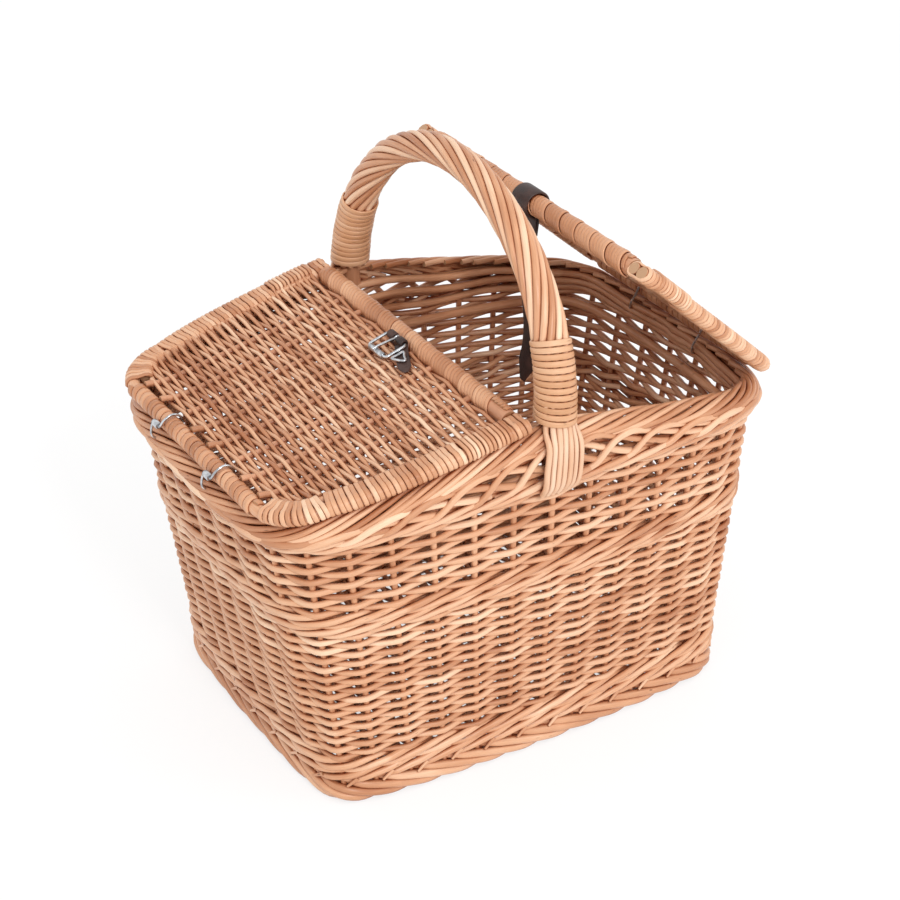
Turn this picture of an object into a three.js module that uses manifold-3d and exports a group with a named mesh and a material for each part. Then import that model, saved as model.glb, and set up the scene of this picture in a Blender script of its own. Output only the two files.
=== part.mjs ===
// Woven willow picnic basket with two lids, a twisted bow handle and a strap with a roller buckle.
// Millimetres, +Z up. The origin is the centre of the foot, on the ground.
// +X runs to the end whose lid stands open, -Y to the long side that faces the viewer.

import * as THREE from 'three';
import Module from 'manifold-3d';
import { mergeVertices } from 'three/addons/utils/BufferGeometryUtils.js';

const wasm = await Module();
wasm.setup();

// Clearances
const seatGap = 0.3;
const pivotGap = 0.4;

// Stakes round the body: two fifths of them stand on the ends, and one stands at each corner
const stakeCount = 40;
const endShare = 0.4;
const borderCount = 60;

// Plan of the body, measured to the outer edge of the foot border and of the rim border
const footHalfLength = 164;
const footEndBulge = 5;
const footHalfWidth = 124;
const footSideBulge = 9;
const rimHalfLength = 199;
const rimEndBulge = 10;
const rimHalfWidth = 135;
const rimSideBulge = 15.5;
const footCornerPower = 11;
const rimCornerPower = 7;

// Heights of the woven bands, from the ground up
const footHeight = 18;
const upsetHeight = 18;
const lowerSidingHeight = 109;
const waleHeight = 15;
const upperSidingHeight = 53;
const borderEndHeight = 20;
const borderLift = 8;
const rimRise = 37;
const crestRound = 0.05;

// Walls
const wallThickness = 8;
const wallInsetFoot = 7.3;
const wallInsetRim = 10.5;
const waleBulge = 1.8;
const footBorderWidth = 17;
const rimBorderWidth = 19.5;
const lowerRowCount = 28;
const upperRowCount = 12;
const weaveOut = 5.4;
const weaveMiddle = 2.6;
const weaveBack = -0.2;
const weaveIn = 5.6;
const hoopRadius = 3.4;
const hoopDrop = 7;

// Base
const baseStickRadius = 3.6;
const baseStickCount = 7;
const baseStickPitch = 33;
const baseWeaveThickness = 5;
const baseRowPitch = 18;

// Bow handle and the rope of rods laid round it
const handleInset = 10.5;
const handleHalfSpan = rimHalfWidth + rimSideBulge - handleInset;
const handleRise = 132;
const handleLean = 9;
const handleSlimming = 0.2;
const bowRadius = 6.5;
const ropeRodCount = 8;
const ropeRodRadius = 3.1;
const ropeLayRadius = 10.2;
const ropeTurns = 2;
const bindingTurns = 12;
const bindingPitch = 4.2;
const bindingSkeinWidth = 3.2;
const bindingSkeinThickness = 1.3;
const tailWidth = 26;
const tailThickness = 4.5;
const tailRodCount = 6;

// Lids
const lidBowRadius = 4.5;
const lidSideRodRadius = 4.2;
const lidCornerRadius = 34;
const lidSideInset = 9;
const hingeInset = 13;
const centreBarRadius = 6.4;
const centreBarOffset = 27;
const sideRodOverhang = 6;
const lidStickRadius = 2.3;
const lidStickCount = 8;
const lidStickPitch = 25;
const lidWeaveThickness = 4.2;
const lidRowPitch = 12;
const hingeSkeinTurns = 18;
const hingeSkeinPitch = 10.1;
const hingeSkeinWidth = 9.4;
const hingeSkeinThickness = 0.9;
const centreSkeinTurns = 9;
const centreSkeinPitch = 26.5;
const centreSkeinWidth = 25.6;
const centreSkeinThickness = 0.9;
const rightLidOpening = 32;

// Wire hinges
const hingeSpread = 40;
const hingeWireRadius = 0.9;
const hingeSleeveRadius = 2.6;
const hingeSleeveLength = 9;

// Buckle, its leather and the long strap
const leatherThickness = 2;
const leatherWidth = 20;
const leatherDrop = 10;
const pinHeight = 9;
const buckleWireRadius = 1.1;
const buckleReach = 17;
const rollerRadius = 2.3;
const tongueRadius = 0.9;
const keeperSide = 15;
const strapLength = 140;

// Heights that follow from the bands
const upsetBottom = footHeight;
const lowerSidingBottom = upsetBottom + upsetHeight;
const waleBottom = lowerSidingBottom + lowerSidingHeight;
const upperSidingBottom = waleBottom + waleHeight;
const borderBottomAtEnds = upperSidingBottom + upperSidingHeight;
const rimEndTop = borderBottomAtEnds + borderEndHeight;

// Small geometry tools

function mix(a, b, t) {
  return a + (b - a) * t;
}

// Share of the crest's rise at a place along X: 1 in the middle, 0 at the ends.
function crest(x) {
  const u = Math.min(Math.abs(x) / rimHalfLength, 1);
  const span = Math.hypot(1, crestRound) - crestRound;
  return 1 - (Math.hypot(u, crestRound) - crestRound) / span;
}

function rimTop(x) {
  return rimEndTop + rimRise * crest(x);
}

function borderBottom(x) {
  return borderBottomAtEnds + borderLift * crest(x);
}

// Sizes of the plan at a height: a rounded rectangle whose four sides all bow outward.
function planSizes(height, inset) {
  const t = height / rimEndTop;
  return {
    halfLength: mix(footHalfLength, rimHalfLength, t) - inset,
    halfWidth: mix(footHalfWidth, rimHalfWidth, t) - inset,
    endBulge: mix(footEndBulge, rimEndBulge, t),
    sideBulge: mix(footSideBulge, rimSideBulge, t),
    power: mix(footCornerPower, rimCornerPower, Math.min(t, 1)),
  };
}

function planPoint(size, angle) {
  const c = Math.cos(angle);
  const s = Math.sin(angle);
  const u = Math.sign(c) * Math.abs(c) ** (2 / size.power);
  const v = Math.sign(s) * Math.abs(s) ** (2 / size.power);
  const x = size.halfLength * u + size.endBulge * u * (1 - v * v);
  const y = (size.halfWidth + size.sideBulge * (1 - u * u)) * v;
  return new THREE.Vector2(x, y);
}

// The plan's outline at a height. From each corner to the middle of a side the steps are even.
function planRing(height, inset, count) {
  const size = planSizes(height, inset);
  const fine = 1440;
  const corner = fine / 8;
  const raw = [];
  for (let i = 0; i <= fine; i += 1) raw.push(planPoint(size, (i / fine) * Math.PI * 2));
  const run = [0];
  for (let i = 1; i <= fine; i += 1) run.push(run[i - 1] + raw[i].distanceTo(raw[i - 1]));
  const quarter = run[fine / 4];
  const ring = [];
  let k = 0;
  for (let i = 0; i < count; i += 1) {
    const turn = (i * 4) / count;
    const share = turn % 2 < 1 ? turn % 1 : 1 - (turn % 1);
    const reach = share < endShare
      ? run[corner] * (share / endShare)
      : mix(run[corner], quarter, (share - endShare) / (1 - endShare));
    const target = Math.floor(turn) * quarter + (turn % 2 < 1 ? reach : quarter - reach);
    while (run[k + 1] < target) k += 1;
    const t = (target - run[k]) / (run[k + 1] - run[k]);
    ring.push(raw[k].clone().lerp(raw[k + 1], t));
  }
  return ring;
}

// Half the plan's width at a place along X, and half its length at a place along Y.
function halfWidthAt(x, height, inset) {
  const size = planSizes(height, inset);
  const u = Math.min(Math.abs(x) / size.halfLength, 0.995);
  const v = (1 - u ** size.power) ** (1 / size.power);
  return (size.halfWidth + size.sideBulge * (1 - u * u)) * v;
}

function halfLengthAt(y, height, inset) {
  const size = planSizes(height, inset);
  const v = Math.min(Math.abs(y) / (size.halfWidth + size.sideBulge * 0.1), 0.995);
  const u = (1 - v ** size.power) ** (1 / size.power);
  return size.halfLength * u + size.endBulge * u * (1 - v * v);
}

function signedVolume(positions, indices) {
  const a = new THREE.Vector3();
  const b = new THREE.Vector3();
  const c = new THREE.Vector3();
  let sum = 0;
  for (let i = 0; i < indices.length; i += 3) {
    a.fromArray(positions, indices[i] * 3);
    b.fromArray(positions, indices[i + 1] * 3);
    c.fromArray(positions, indices[i + 2] * 3);
    sum += a.dot(b.cross(c));
  }
  return sum / 6;
}

// A solid from rings of points. Its faces are turned outward whichever way the rings run.
function solid(positions, indices) {
  const order = indices.slice();
  if (signedVolume(positions, order) < 0) {
    for (let i = 0; i < order.length; i += 3) [order[i], order[i + 1]] = [order[i + 1], order[i]];
  }
  const geometry = new THREE.BufferGeometry();
  geometry.setAttribute('position', new THREE.Float32BufferAttribute(positions, 3));
  geometry.setIndex(order);
  return geometry;
}

// Triangles that fill a flat section, turning the same way as its points.
function capFaces(section) {
  const normal = new THREE.Vector3();
  section.forEach((p, i) => normal.add(p.clone().cross(section[(i + 1) % section.length])));
  normal.normalize();
  const across = new THREE.Vector3(normal.y, normal.z, normal.x).cross(normal).normalize();
  const up = normal.clone().cross(across);
  const flat = section.map((p) => new THREE.Vector2(p.dot(across), p.dot(up)));
  return THREE.ShapeUtils.triangulateShape(flat, []).map(([a, b, c]) => {
    const turn = flat[b].clone().sub(flat[a]).cross(flat[c].clone().sub(flat[a]));
    return turn > 0 ? [a, b, c] : [a, c, b];
  });
}

// Joins sections of equal length into one skin. A closed run meets itself, an open one is capped.
function loft(sections, closedRun = false) {
  const n = sections[0].length;
  const m = sections.length;
  const positions = sections.flat().flatMap((p) => [p.x, p.y, p.z]);
  const indices = [];
  const last = closedRun ? m : m - 1;
  for (let i = 0; i < last; i += 1) {
    const i2 = (i + 1) % m;
    for (let j = 0; j < n; j += 1) {
      const j2 = (j + 1) % n;
      const a = i * n + j;
      const b = i2 * n + j;
      const c = i2 * n + j2;
      const d = i * n + j2;
      indices.push(a, b, c, a, c, d);
    }
  }
  if (!closedRun) {
    const end = (m - 1) * n;
    for (const [a, b, c] of capFaces(sections[0])) indices.push(a, b, c);
    for (const [a, b, c] of capFaces(sections[m - 1])) indices.push(end + a, end + c, end + b);
  }
  return solid(positions, indices);
}

// A round rod along points. Its section is carried along without turning on itself.
// The radius is a number, or a function of the share of the points passed.
function rodAlong(points, radius, sides, closedRun = false) {
  const radiusAt = typeof radius === 'number' ? () => radius : radius;
  const count = points.length;
  const sections = [];
  let normal = null;
  for (let i = 0; i < count; i += 1) {
    const before = closedRun ? points[(i + count - 1) % count] : points[Math.max(i - 1, 0)];
    const after = closedRun ? points[(i + 1) % count] : points[Math.min(i + 1, count - 1)];
    const tangent = after.clone().sub(before).normalize();
    if (normal === null) {
      normal = new THREE.Vector3(0.3, 0.1, 1).cross(tangent).normalize();
    } else {
      normal = normal.clone().addScaledVector(tangent, -normal.dot(tangent)).normalize();
    }
    const side = tangent.clone().cross(normal);
    const section = [];
    const r = radiusAt(i / (count - 1));
    for (let k = 0; k < sides; k += 1) {
      const angle = (k / sides) * Math.PI * 2;
      const spoke = normal.clone().multiplyScalar(Math.cos(angle) * r);
      section.push(points[i].clone().add(spoke).addScaledVector(side, Math.sin(angle) * r));
    }
    sections.push(section);
  }
  return loft(sections, closedRun);
}

// A straight rod between two points.
function straightRod(from, to, radius, sides) {
  return rodAlong([from, to], radius, sides);
}

function bare(geometry) {
  const copy = geometry.clone();
  copy.deleteAttribute('normal');
  copy.deleteAttribute('uv');
  return mergeVertices(copy, 1e-4);
}

function toManifold(geometry) {
  const g = bare(geometry);
  const numbers = { numProp: 3, vertProperties: g.attributes.position.array, triVerts: new Uint32Array(g.index.array) };
  return new wasm.Manifold(new wasm.Mesh(numbers));
}

function fromManifold(manifold) {
  const mesh = manifold.getMesh();
  const geometry = new THREE.BufferGeometry();
  geometry.setAttribute('position', new THREE.Float32BufferAttribute(mesh.vertProperties, 3));
  geometry.setIndex(Array.from(mesh.triVerts));
  return geometry;
}

function cut(geometry, tools) {
  let body = toManifold(geometry);
  for (const tool of tools) body = body.subtract(toManifold(tool));
  return fromManifold(body);
}

// A flat skein wound round a core: rectangular section, one unbroken run with short straight ends.
// frameAt gives the core's centre, its run direction and two directions across it at a distance.
function skeinWinding(label, frameAt, innerRadius, turns, pitch, width, thickness, steps) {
  const total = Math.round(turns * steps);
  const sections = [];
  const sectionAt = (angle, along, push) => {
    const frame = frameAt(along);
    const radial = frame.side.clone().multiplyScalar(Math.cos(angle));
    radial.addScaledVector(frame.up, Math.sin(angle));
    const sweep = frame.side.clone().multiplyScalar(-Math.sin(angle));
    sweep.addScaledVector(frame.up, Math.cos(angle));
    const corners = [[0, -1], [thickness, -1], [thickness, 1], [0, 1]];
    return corners.map(([out, across]) => {
      const p = frame.centre.clone().addScaledVector(radial, innerRadius + out);
      p.addScaledVector(frame.run, (across * width) / 2);
      return p.addScaledVector(sweep, push);
    });
  };
  sections.push(sectionAt(0, 0, -thickness));
  for (let i = 0; i <= total; i += 1) {
    const share = i / steps;
    sections.push(sectionAt(share * Math.PI * 2, share * pitch, 0));
  }
  sections.push(sectionAt((total / steps) * Math.PI * 2, (total / steps) * pitch, thickness));
  let least = Infinity;
  for (let i = 0; i + steps < sections.length; i += 1) {
    for (let j = i + Math.ceil(steps * 0.75); j < Math.min(i + Math.ceil(steps * 1.25), sections.length); j += 1) {
      for (const a of sections[i]) for (const b of sections[j]) least = Math.min(least, a.distanceTo(b));
    }
  }
  console.log(`${label}: ${turns} turns, least gap to itself ${least.toFixed(2)} mm`);
  return loft(sections);
}

// A ring of woven work round the body. Each profile point has an inset, a height and a push
// that says how far it stands out at each column.
function wovenRing(profile, count) {
  const rings = profile.map((p) => planRing(p.level, p.inset, count));
  const sections = [];
  for (let i = 0; i < count; i += 1) {
    const section = profile.map((p, j) => {
      const here = rings[j][i];
      const next = rings[j][(i + 1) % count];
      const last = rings[j][(i + count - 1) % count];
      const along = next.clone().sub(last).normalize();
      const push = p.push(i);
      const x = here.x + along.y * push;
      const y = here.y - along.x * push;
      return new THREE.Vector3(x, y, p.height(x));
    });
    sections.push(section);
  }
  return loft(sections, true);
}

function point(level, inset, height, push = () => 0) {
  return { level, inset, height: typeof height === 'number' ? () => height : height, push };
}

function wallInset(level) {
  return mix(wallInsetFoot, wallInsetRim, level / rimEndTop);
}

// Body

function makeFootBorder() {
  const inner = footBorderWidth;
  return wovenRing([
    point(0, 1.5, 0),
    point(0, 0, 5),
    point(footHeight, 0.5, footHeight * 0.65),
    point(footHeight, 4, footHeight),
    point(0, inner, footHeight),
    point(0, inner, 0),
  ], stakeCount);
}

function makeWaling(bottom, top) {
  const middle = (bottom + top) / 2;
  const half = wallThickness / 2;
  return wovenRing([
    point(bottom, wallInset(bottom) - half, bottom + seatGap),
    point(middle, wallInset(middle) - half - waleBulge, middle),
    point(top, wallInset(top) - half, top),
    point(top, wallInset(top) + half, top),
    point(middle, wallInset(middle) + half + waleBulge * 0.2, middle),
    point(bottom, wallInset(bottom) + half, bottom + seatGap),
  ], stakeCount);
}

// Siding: rows of single rods. A row passes in front of every second stake, and the row above
// passes in front of the stakes between, so that the outer face is a chequer of swellings.
function makeSiding(bottom, topLevel, topHeight, rowCount) {
  const foot = bottom + seatGap;
  const heightAt = (share) => (x) => mix(foot, topHeight(x), share);
  const profile = [point(bottom, wallInset(bottom) - weaveMiddle, foot)];
  for (let row = 0; row < rowCount; row += 1) {
    const share = (row + 0.5) / rowCount;
    const level = mix(bottom, topLevel, share);
    const push = (stake) => ((stake + row) % 2 === 0 ? weaveOut : weaveBack);
    profile.push(point(level, wallInset(level), heightAt(share), push));
  }
  profile.push(point(topLevel, wallInset(topLevel) - weaveMiddle, topHeight));
  profile.push(point(topLevel, wallInset(topLevel) + weaveIn, topHeight));
  profile.push(point(bottom, wallInset(bottom) + weaveIn, foot));
  return wovenRing(profile, stakeCount);
}

// The rolled border: low and level outside, its top rises to the crest at the handle.
function makeTopBorder() {
  const level = rimEndTop;
  const w = rimBorderWidth;
  const ring = wovenRing([
    point(level, 1.5, (x) => borderBottom(x)),
    point(level, 0, (x) => borderBottom(x) + 6),
    point(level, 3.5, (x) => rimTop(x) - 8),
    point(level, 8, (x) => rimTop(x) - 1.5),
    point(level, 13, (x) => rimTop(x)),
    point(level, w - 2, (x) => rimTop(x) - 3),
    point(level, w, (x) => rimTop(x) - 9),
    point(level, w - 3, (x) => borderBottom(x)),
  ], borderCount);
  const sockets = [-1, 1].map((side) => handleSocket(side));
  const channels = [];
  for (const end of [-1, 1]) {
    for (const side of [-1, 1]) channels.push(wireChannel(end, side * hingeSpread));
  }
  return cut(ring, [...sockets, ...channels]);
}

// A thick rod runs round inside, just below the border.
function makeInnerHoop() {
  const level = borderBottomAtEnds - hoopDrop - hoopRadius;
  const inset = wallInset(level) + weaveIn + hoopRadius + seatGap;
  const ring = planRing(level, inset, stakeCount);
  const points = ring.map((p) => new THREE.Vector3(p.x, p.y, borderBottom(p.x) - hoopDrop));
  return rodAlong(points, hoopRadius, 5, true);
}

// The floor: rows of weave across thick sticks, ridged above, with the sticks as ribs below.
function makeBaseFloor() {
  const bottom = baseStickRadius * 2 + 2;
  const size = planSizes(0, 0);
  const reach = size.halfLength + size.endBulge;
  const half = size.halfWidth + size.sideBulge;
  const rows = Math.round((reach * 2) / baseRowPitch) * 2;
  const sections = [];
  for (let i = 0; i <= rows; i += 1) {
    const x = mix(-reach, reach, i / rows);
    const top = bottom + baseWeaveThickness - (i % 2) * 1.4;
    sections.push([
      new THREE.Vector3(x, -half, bottom),
      new THREE.Vector3(x, half, bottom),
      new THREE.Vector3(x, half, top),
      new THREE.Vector3(x, -half, top),
    ]);
  }
  let floor = toManifold(loft(sections));
  for (let i = 0; i < baseStickCount; i += 1) {
    const y = (i - (baseStickCount - 1) / 2) * baseStickPitch;
    const z = baseStickRadius + 2.9;
    const ends = [new THREE.Vector3(-reach, y, z), new THREE.Vector3(reach, y, z)];
    floor = floor.add(toManifold(straightRod(ends[0], ends[1], baseStickRadius, 6)));
  }
  const outline = planRing(0, footBorderWidth + seatGap, stakeCount);
  const prism = loft([-20, 60].map((z) => outline.map((p) => new THREE.Vector3(p.x, p.y, z))));
  return fromManifold(floor.intersect(toManifold(prism)));
}

// Handle: half an ellipse over the crest, on straight legs that lean in with the wall

const handleSpring = rimTop(0);
const legLean = ((rimHalfWidth + rimSideBulge - wallInsetRim) - (footHalfWidth + footSideBulge - wallInsetFoot)) / rimEndTop;
const legLength = handleSpring - borderBottom(0) - seatGap;

function handleRun() {
  const points = [];
  points.push(new THREE.Vector3(0, handleHalfSpan - legLean * legLength, handleSpring - legLength));
  for (let i = 0; i <= 180; i += 1) {
    const a = (i / 180) * Math.PI;
    const up = Math.sin(a);
    points.push(new THREE.Vector3(handleLean * up, handleHalfSpan * Math.cos(a), handleSpring + handleRise * up));
  }
  points.push(new THREE.Vector3(0, -handleHalfSpan + legLean * legLength, handleSpring - legLength));
  return points;
}

const handlePoints = handleRun();
const handleDistances = handlePoints.reduce((list, p, i) => {
  list.push(i === 0 ? 0 : list[i - 1] + p.distanceTo(handlePoints[i - 1]));
  return list;
}, []);
const handleLength = handleDistances[handleDistances.length - 1];

// Centre, run direction and the two directions across, at a distance along the handle.
function handleFrame(distance) {
  const d = THREE.MathUtils.clamp(distance, 0, handleLength);
  let k = 0;
  while (k < handleDistances.length - 2 && handleDistances[k + 1] < d) k += 1;
  const t = (d - handleDistances[k]) / (handleDistances[k + 1] - handleDistances[k]);
  const centre = handlePoints[k].clone().lerp(handlePoints[k + 1], t);
  const before = handlePoints[Math.max(k - 1, 0)];
  const after = handlePoints[Math.min(k + 2, handlePoints.length - 1)];
  const run = after.clone().sub(before).normalize();
  const up = run.clone().cross(new THREE.Vector3(1, 0, 0)).normalize();
  return { centre, run, side: up.clone().cross(run), up };
}

// The handle's thickness at a share of its length, as a share of the thickness at its feet.
function handleGirth(share) {
  return 1 - handleSlimming * (1 - Math.abs(share * 2 - 1) ** 1.5);
}

function makeHandleBow() {
  const points = [];
  for (let i = 0; i <= 26; i += 1) points.push(handleFrame((handleLength * i) / 26).centre);
  return rodAlong(points, (share) => bowRadius * handleGirth(share), 6);
}

function handleSocket(side) {
  const end = side > 0 ? 0 : handleLength;
  const foot = handleFrame(end).centre;
  const top = handleFrame(side > 0 ? legLength : handleLength - legLength).centre;
  const lean = top.clone().sub(foot);
  const from = foot.clone().addScaledVector(lean, -0.2);
  const to = foot.clone().addScaledVector(lean, 1.4);
  return straightRod(from, to, bowRadius + seatGap * 1.6, 12);
}

// The rope: rods laid round the bow as helices of one hand, from foot to foot.
function makeRopeRod(index) {
  const start = legLength + 1;
  const run = handleLength - 2 * start;
  const steps = 22;
  const points = [];
  for (let i = 0; i <= steps; i += 1) {
    const share = i / steps;
    const angle = (index / ropeRodCount + share * ropeTurns) * Math.PI * 2;
    const frame = handleFrame(start + run * share);
    const lay = ropeLayRadius * handleGirth(share);
    const p = frame.centre.addScaledVector(frame.side, Math.cos(angle) * lay);
    points.push(p.addScaledVector(frame.up, Math.sin(angle) * lay));
  }
  return rodAlong(points, (share) => ropeRodRadius * handleGirth(share), 5);
}

const bindingSteps = 10;
const bindingInner = (ropeLayRadius + ropeRodRadius + seatGap) / Math.cos(Math.PI / bindingSteps);

function makeHandleBinding(side, label) {
  const start = legLength + bindingSkeinWidth / 2 + 2;
  const frameAt = (along) => handleFrame(side > 0 ? start + along : handleLength - start - along);
  return skeinWinding(label, frameAt, bindingInner, bindingTurns, bindingPitch,
    bindingSkeinWidth, bindingSkeinThickness, bindingSteps);
}

// The tail: rods that come out under the binding and lie down over the outside of the border.
function makeHandleTail(side) {
  const outer = rimHalfWidth + rimSideBulge;
  const top = handleSpring - seatGap * 2;
  const bottom = borderBottom(0) + 1;
  const stations = 6;
  const sections = [];
  for (let i = 0; i <= stations; i += 1) {
    const share = i / stations;
    const z = mix(top, bottom, share);
    const inner = outer + seatGap + 0.4;
    const narrow = 1 - 0.18 * Math.abs(share - 0.35);
    const thickness = tailThickness * (share < 0.9 ? 1 : 0.7);
    const section = [];
    for (let k = 0; k <= tailRodCount * 2; k += 1) {
      const x = (k / (tailRodCount * 2) - 0.5) * tailWidth * narrow;
      const groove = k % 2 === 0 ? 1.3 : 0;
      section.push(new THREE.Vector3(x, side * (inner + thickness - groove), z));
    }
    section.push(new THREE.Vector3((tailWidth / 2) * narrow, side * inner, z));
    section.push(new THREE.Vector3((-tailWidth / 2) * narrow, side * inner, z));
    sections.push(section);
  }
  return loft(sections);
}

// Lids, each drawn in its own frame: +X from the hinge axis to the centre bar, +Z its upper face

const hingeSteps = 6;
const hingeSkeinInner = (lidBowRadius + 0.15) / Math.cos(Math.PI / hingeSteps);
const hingeRodOuter = hingeSkeinInner + hingeSkeinThickness;
const hingeX = rimHalfLength + rimEndBulge - hingeInset;
const hingeZ = rimTop(hingeX) + seatGap + hingeRodOuter;
const centreBarZ = rimTop(centreBarOffset) + seatGap * 2 + lidBowRadius;
const lidSlope = Math.atan2(centreBarZ - hingeZ, hingeX - centreBarOffset);
const lidReach = (hingeX - centreBarOffset) / Math.cos(lidSlope);
const centreSteps = 10;
const centreSkeinInner = (centreBarRadius + 0.15) / Math.cos(Math.PI / centreSteps);
const centreBarOuter = centreSkeinInner + centreSkeinThickness;
const leatherX = lidReach - centreBarOuter - 0.5 - leatherThickness;
const lidWeaveEnd = leatherX - leatherThickness - pivotGap;

// Distance from the lid's middle line to the axis of its outer rod.
function lidSide(x) {
  const worldX = hingeX - x * Math.cos(lidSlope);
  return halfWidthAt(worldX, rimEndTop, 0) - lidSideInset;
}

// The line of the lid's bow, moved inward by an offset: side, round corner, hinge end.
function lidOutline(offset, farEnd, arcShare, side) {
  const r = lidCornerRadius;
  const y = lidSide(r);
  const points = [];
  const sideSteps = 7;
  for (let i = 0; i < sideSteps; i += 1) {
    const x = mix(farEnd, r, i / sideSteps);
    points.push(new THREE.Vector3(x, side * (lidSide(x) - offset), 0));
  }
  const arcSteps = Math.round(7 * arcShare);
  for (let i = 0; i <= arcSteps; i += 1) {
    const a = (i / 7) * (Math.PI / 2);
    const x = r - Math.sin(a) * (r - offset);
    points.push(new THREE.Vector3(x, side * (y - r + Math.cos(a) * (r - offset)), 0));
  }
  return points;
}

function makeLidBow() {
  const end = lidReach + sideRodOverhang;
  const near = lidOutline(0, end, 1, -1);
  const far = lidOutline(0, end, 1, 1).reverse();
  return rodAlong([...near, ...far], lidBowRadius, 6);
}

function makeLidSideRod(side) {
  const offset = lidBowRadius + lidSideRodRadius + seatGap;
  return rodAlong(lidOutline(offset, lidReach + sideRodOverhang, 0.72, side), lidSideRodRadius, 6);
}

function lidPanelEdge() {
  return lidBowRadius + lidSideRodRadius * 2 + seatGap * 3 + 0.2;
}

// The lid's panel: ridged rows from side to side, with the sticks as ribs below.
function makeLidPanel() {
  const edge = lidPanelEdge();
  const from = edge + 0.4;
  const rows = Math.round((lidWeaveEnd - from) / lidRowPitch) * 2;
  const r = lidCornerRadius;
  const sections = [];
  for (let i = 0; i <= rows; i += 1) {
    const x = mix(from, lidWeaveEnd, i / rows);
    const arc = lidSide(r) - r + Math.sqrt(Math.max((r - edge) ** 2 - (r - x) ** 2, 0));
    const half = x < r ? arc - 0.4 : lidSide(x) - edge;
    const bottom = seatGap / 2;
    const top = bottom + lidWeaveThickness - (i % 2) * 1.3;
    sections.push([
      new THREE.Vector3(x, -half, bottom),
      new THREE.Vector3(x, half, bottom),
      new THREE.Vector3(x, half, top),
      new THREE.Vector3(x, -half, top),
    ]);
  }
  let panel = toManifold(loft(sections));
  const start = hingeRodOuter + hingeWireRadius * 2 + 1.9;
  const end = lidReach - centreBarOuter - seatGap;
  for (let i = 0; i < lidStickCount; i += 1) {
    const y = (i - (lidStickCount - 1) / 2) * lidStickPitch;
    const z = -lidStickRadius * 0.6;
    const ends = [new THREE.Vector3(start, y, z), new THREE.Vector3(end, y, z)];
    panel = panel.add(toManifold(straightRod(ends[0], ends[1], lidStickRadius, 6)));
  }
  return fromManifold(panel);
}

function centreBarHalf() {
  return lidSide(lidReach) - lidBowRadius - lidSideRodRadius * 2 - seatGap * 3;
}

function makeCentreBar() {
  const half = centreBarHalf();
  const ends = [new THREE.Vector3(lidReach, -half, 0), new THREE.Vector3(lidReach, half, 0)];
  return straightRod(ends[0], ends[1], centreBarRadius, 12);
}

// A straight frame along Y, for the skeins on the hinge end and on the centre bar.
function barFrame(x, start) {
  return (along) => ({
    centre: new THREE.Vector3(x, start + along, 0),
    run: new THREE.Vector3(0, 1, 0),
    side: new THREE.Vector3(0, 0, 1),
    up: new THREE.Vector3(1, 0, 0),
  });
}

function makeHingeSkein(label) {
  const start = (-hingeSkeinTurns * hingeSkeinPitch) / 2;
  return skeinWinding(label, barFrame(0, start), hingeSkeinInner, hingeSkeinTurns, hingeSkeinPitch,
    hingeSkeinWidth, hingeSkeinThickness, hingeSteps);
}

function makeCentreSkein(label) {
  const room = centreBarHalf() * 2 - centreSkeinWidth;
  const turns = Math.min(centreSkeinTurns, Math.floor(room / centreSkeinPitch));
  const start = (-turns * centreSkeinPitch) / 2;
  return skeinWinding(label, barFrame(lidReach, start), centreSkeinInner, turns, centreSkeinPitch,
    centreSkeinWidth, centreSkeinThickness, centreSteps);
}

// Wire hinges: a loop round the lid's hinge end, down inside the border and back through it

const sleeveOut = hingeRodOuter + hingeSleeveRadius + pivotGap;
const loopRadius = hingeRodOuter + hingeWireRadius + pivotGap + 0.4;

function channelEnds(end, y) {
  const edge = halfLengthAt(y, rimEndTop, 0);
  const top = new THREE.Vector3(end * (edge - 3.2), y, rimTop(edge) - 5);
  const low = new THREE.Vector3(end * (edge - rimBorderWidth - 0.5), y, borderBottom(edge) + 4);
  return { top, low };
}

function wireY(y) {
  return y + hingeSleeveLength / 2 + 2.5;
}

function wireChannel(end, y) {
  const { top, low } = channelEnds(end, wireY(y));
  const line = low.clone().sub(top);
  const from = top.clone().addScaledVector(line, -0.5);
  const to = low.clone().addScaledVector(line, 0.4);
  return straightRod(from, to, hingeWireRadius + pivotGap + 0.2, 8);
}

function hingeWirePoints(end, y) {
  const { top, low } = channelEnds(end, wireY(y));
  const line = low.clone().sub(top);
  const r = loopRadius;
  const at = (dx, yy, dz) => new THREE.Vector3(end * (hingeX - dx), yy, hingeZ + dz);
  const half = hingeSleeveLength / 2;
  const keys = [
    at(-sleeveOut, y - half, 1.2),
    at(-sleeveOut, y, 1.2),
    at(-sleeveOut, y + half, 1.2),
    top.clone().addScaledVector(line, -0.16),
    top.clone().addScaledVector(line, 0.3),
    top.clone().addScaledVector(line, 0.7),
    top.clone().addScaledVector(line, 1.06),
    at(r + 1.6, y, -12),
    at(r + 0.5, y - half + 1, -3),
    at(r * 0.76, y - half - 1, r * 0.7),
    at(0, y - half - 1.6, r * 1.06),
    at(-r * 0.78, y - half - 1.6, r * 0.72),
  ];
  const curve = new THREE.CatmullRomCurve3(keys, true, 'centripetal');
  return curve.getSpacedPoints(26).slice(0, 26);
}

function makeHingeWire(end, y) {
  return rodAlong(hingeWirePoints(end, y), hingeWireRadius, 4, true);
}

function tubeProfile(inner, outer, half) {
  const corners = [[inner, -half], [outer, -half], [outer, half], [inner, half], [inner, -half]];
  return corners.map(([r, z]) => new THREE.Vector2(r, z));
}

function makeHingeSleeve(end, y) {
  const bore = hingeWireRadius + seatGap * 1.8;
  const geometry = new THREE.LatheGeometry(tubeProfile(bore, hingeSleeveRadius, hingeSleeveLength / 2 - 0.8), 10);
  geometry.translate(end * (hingeX + sleeveOut), y, hingeZ + 1.2);
  return geometry;
}

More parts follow.
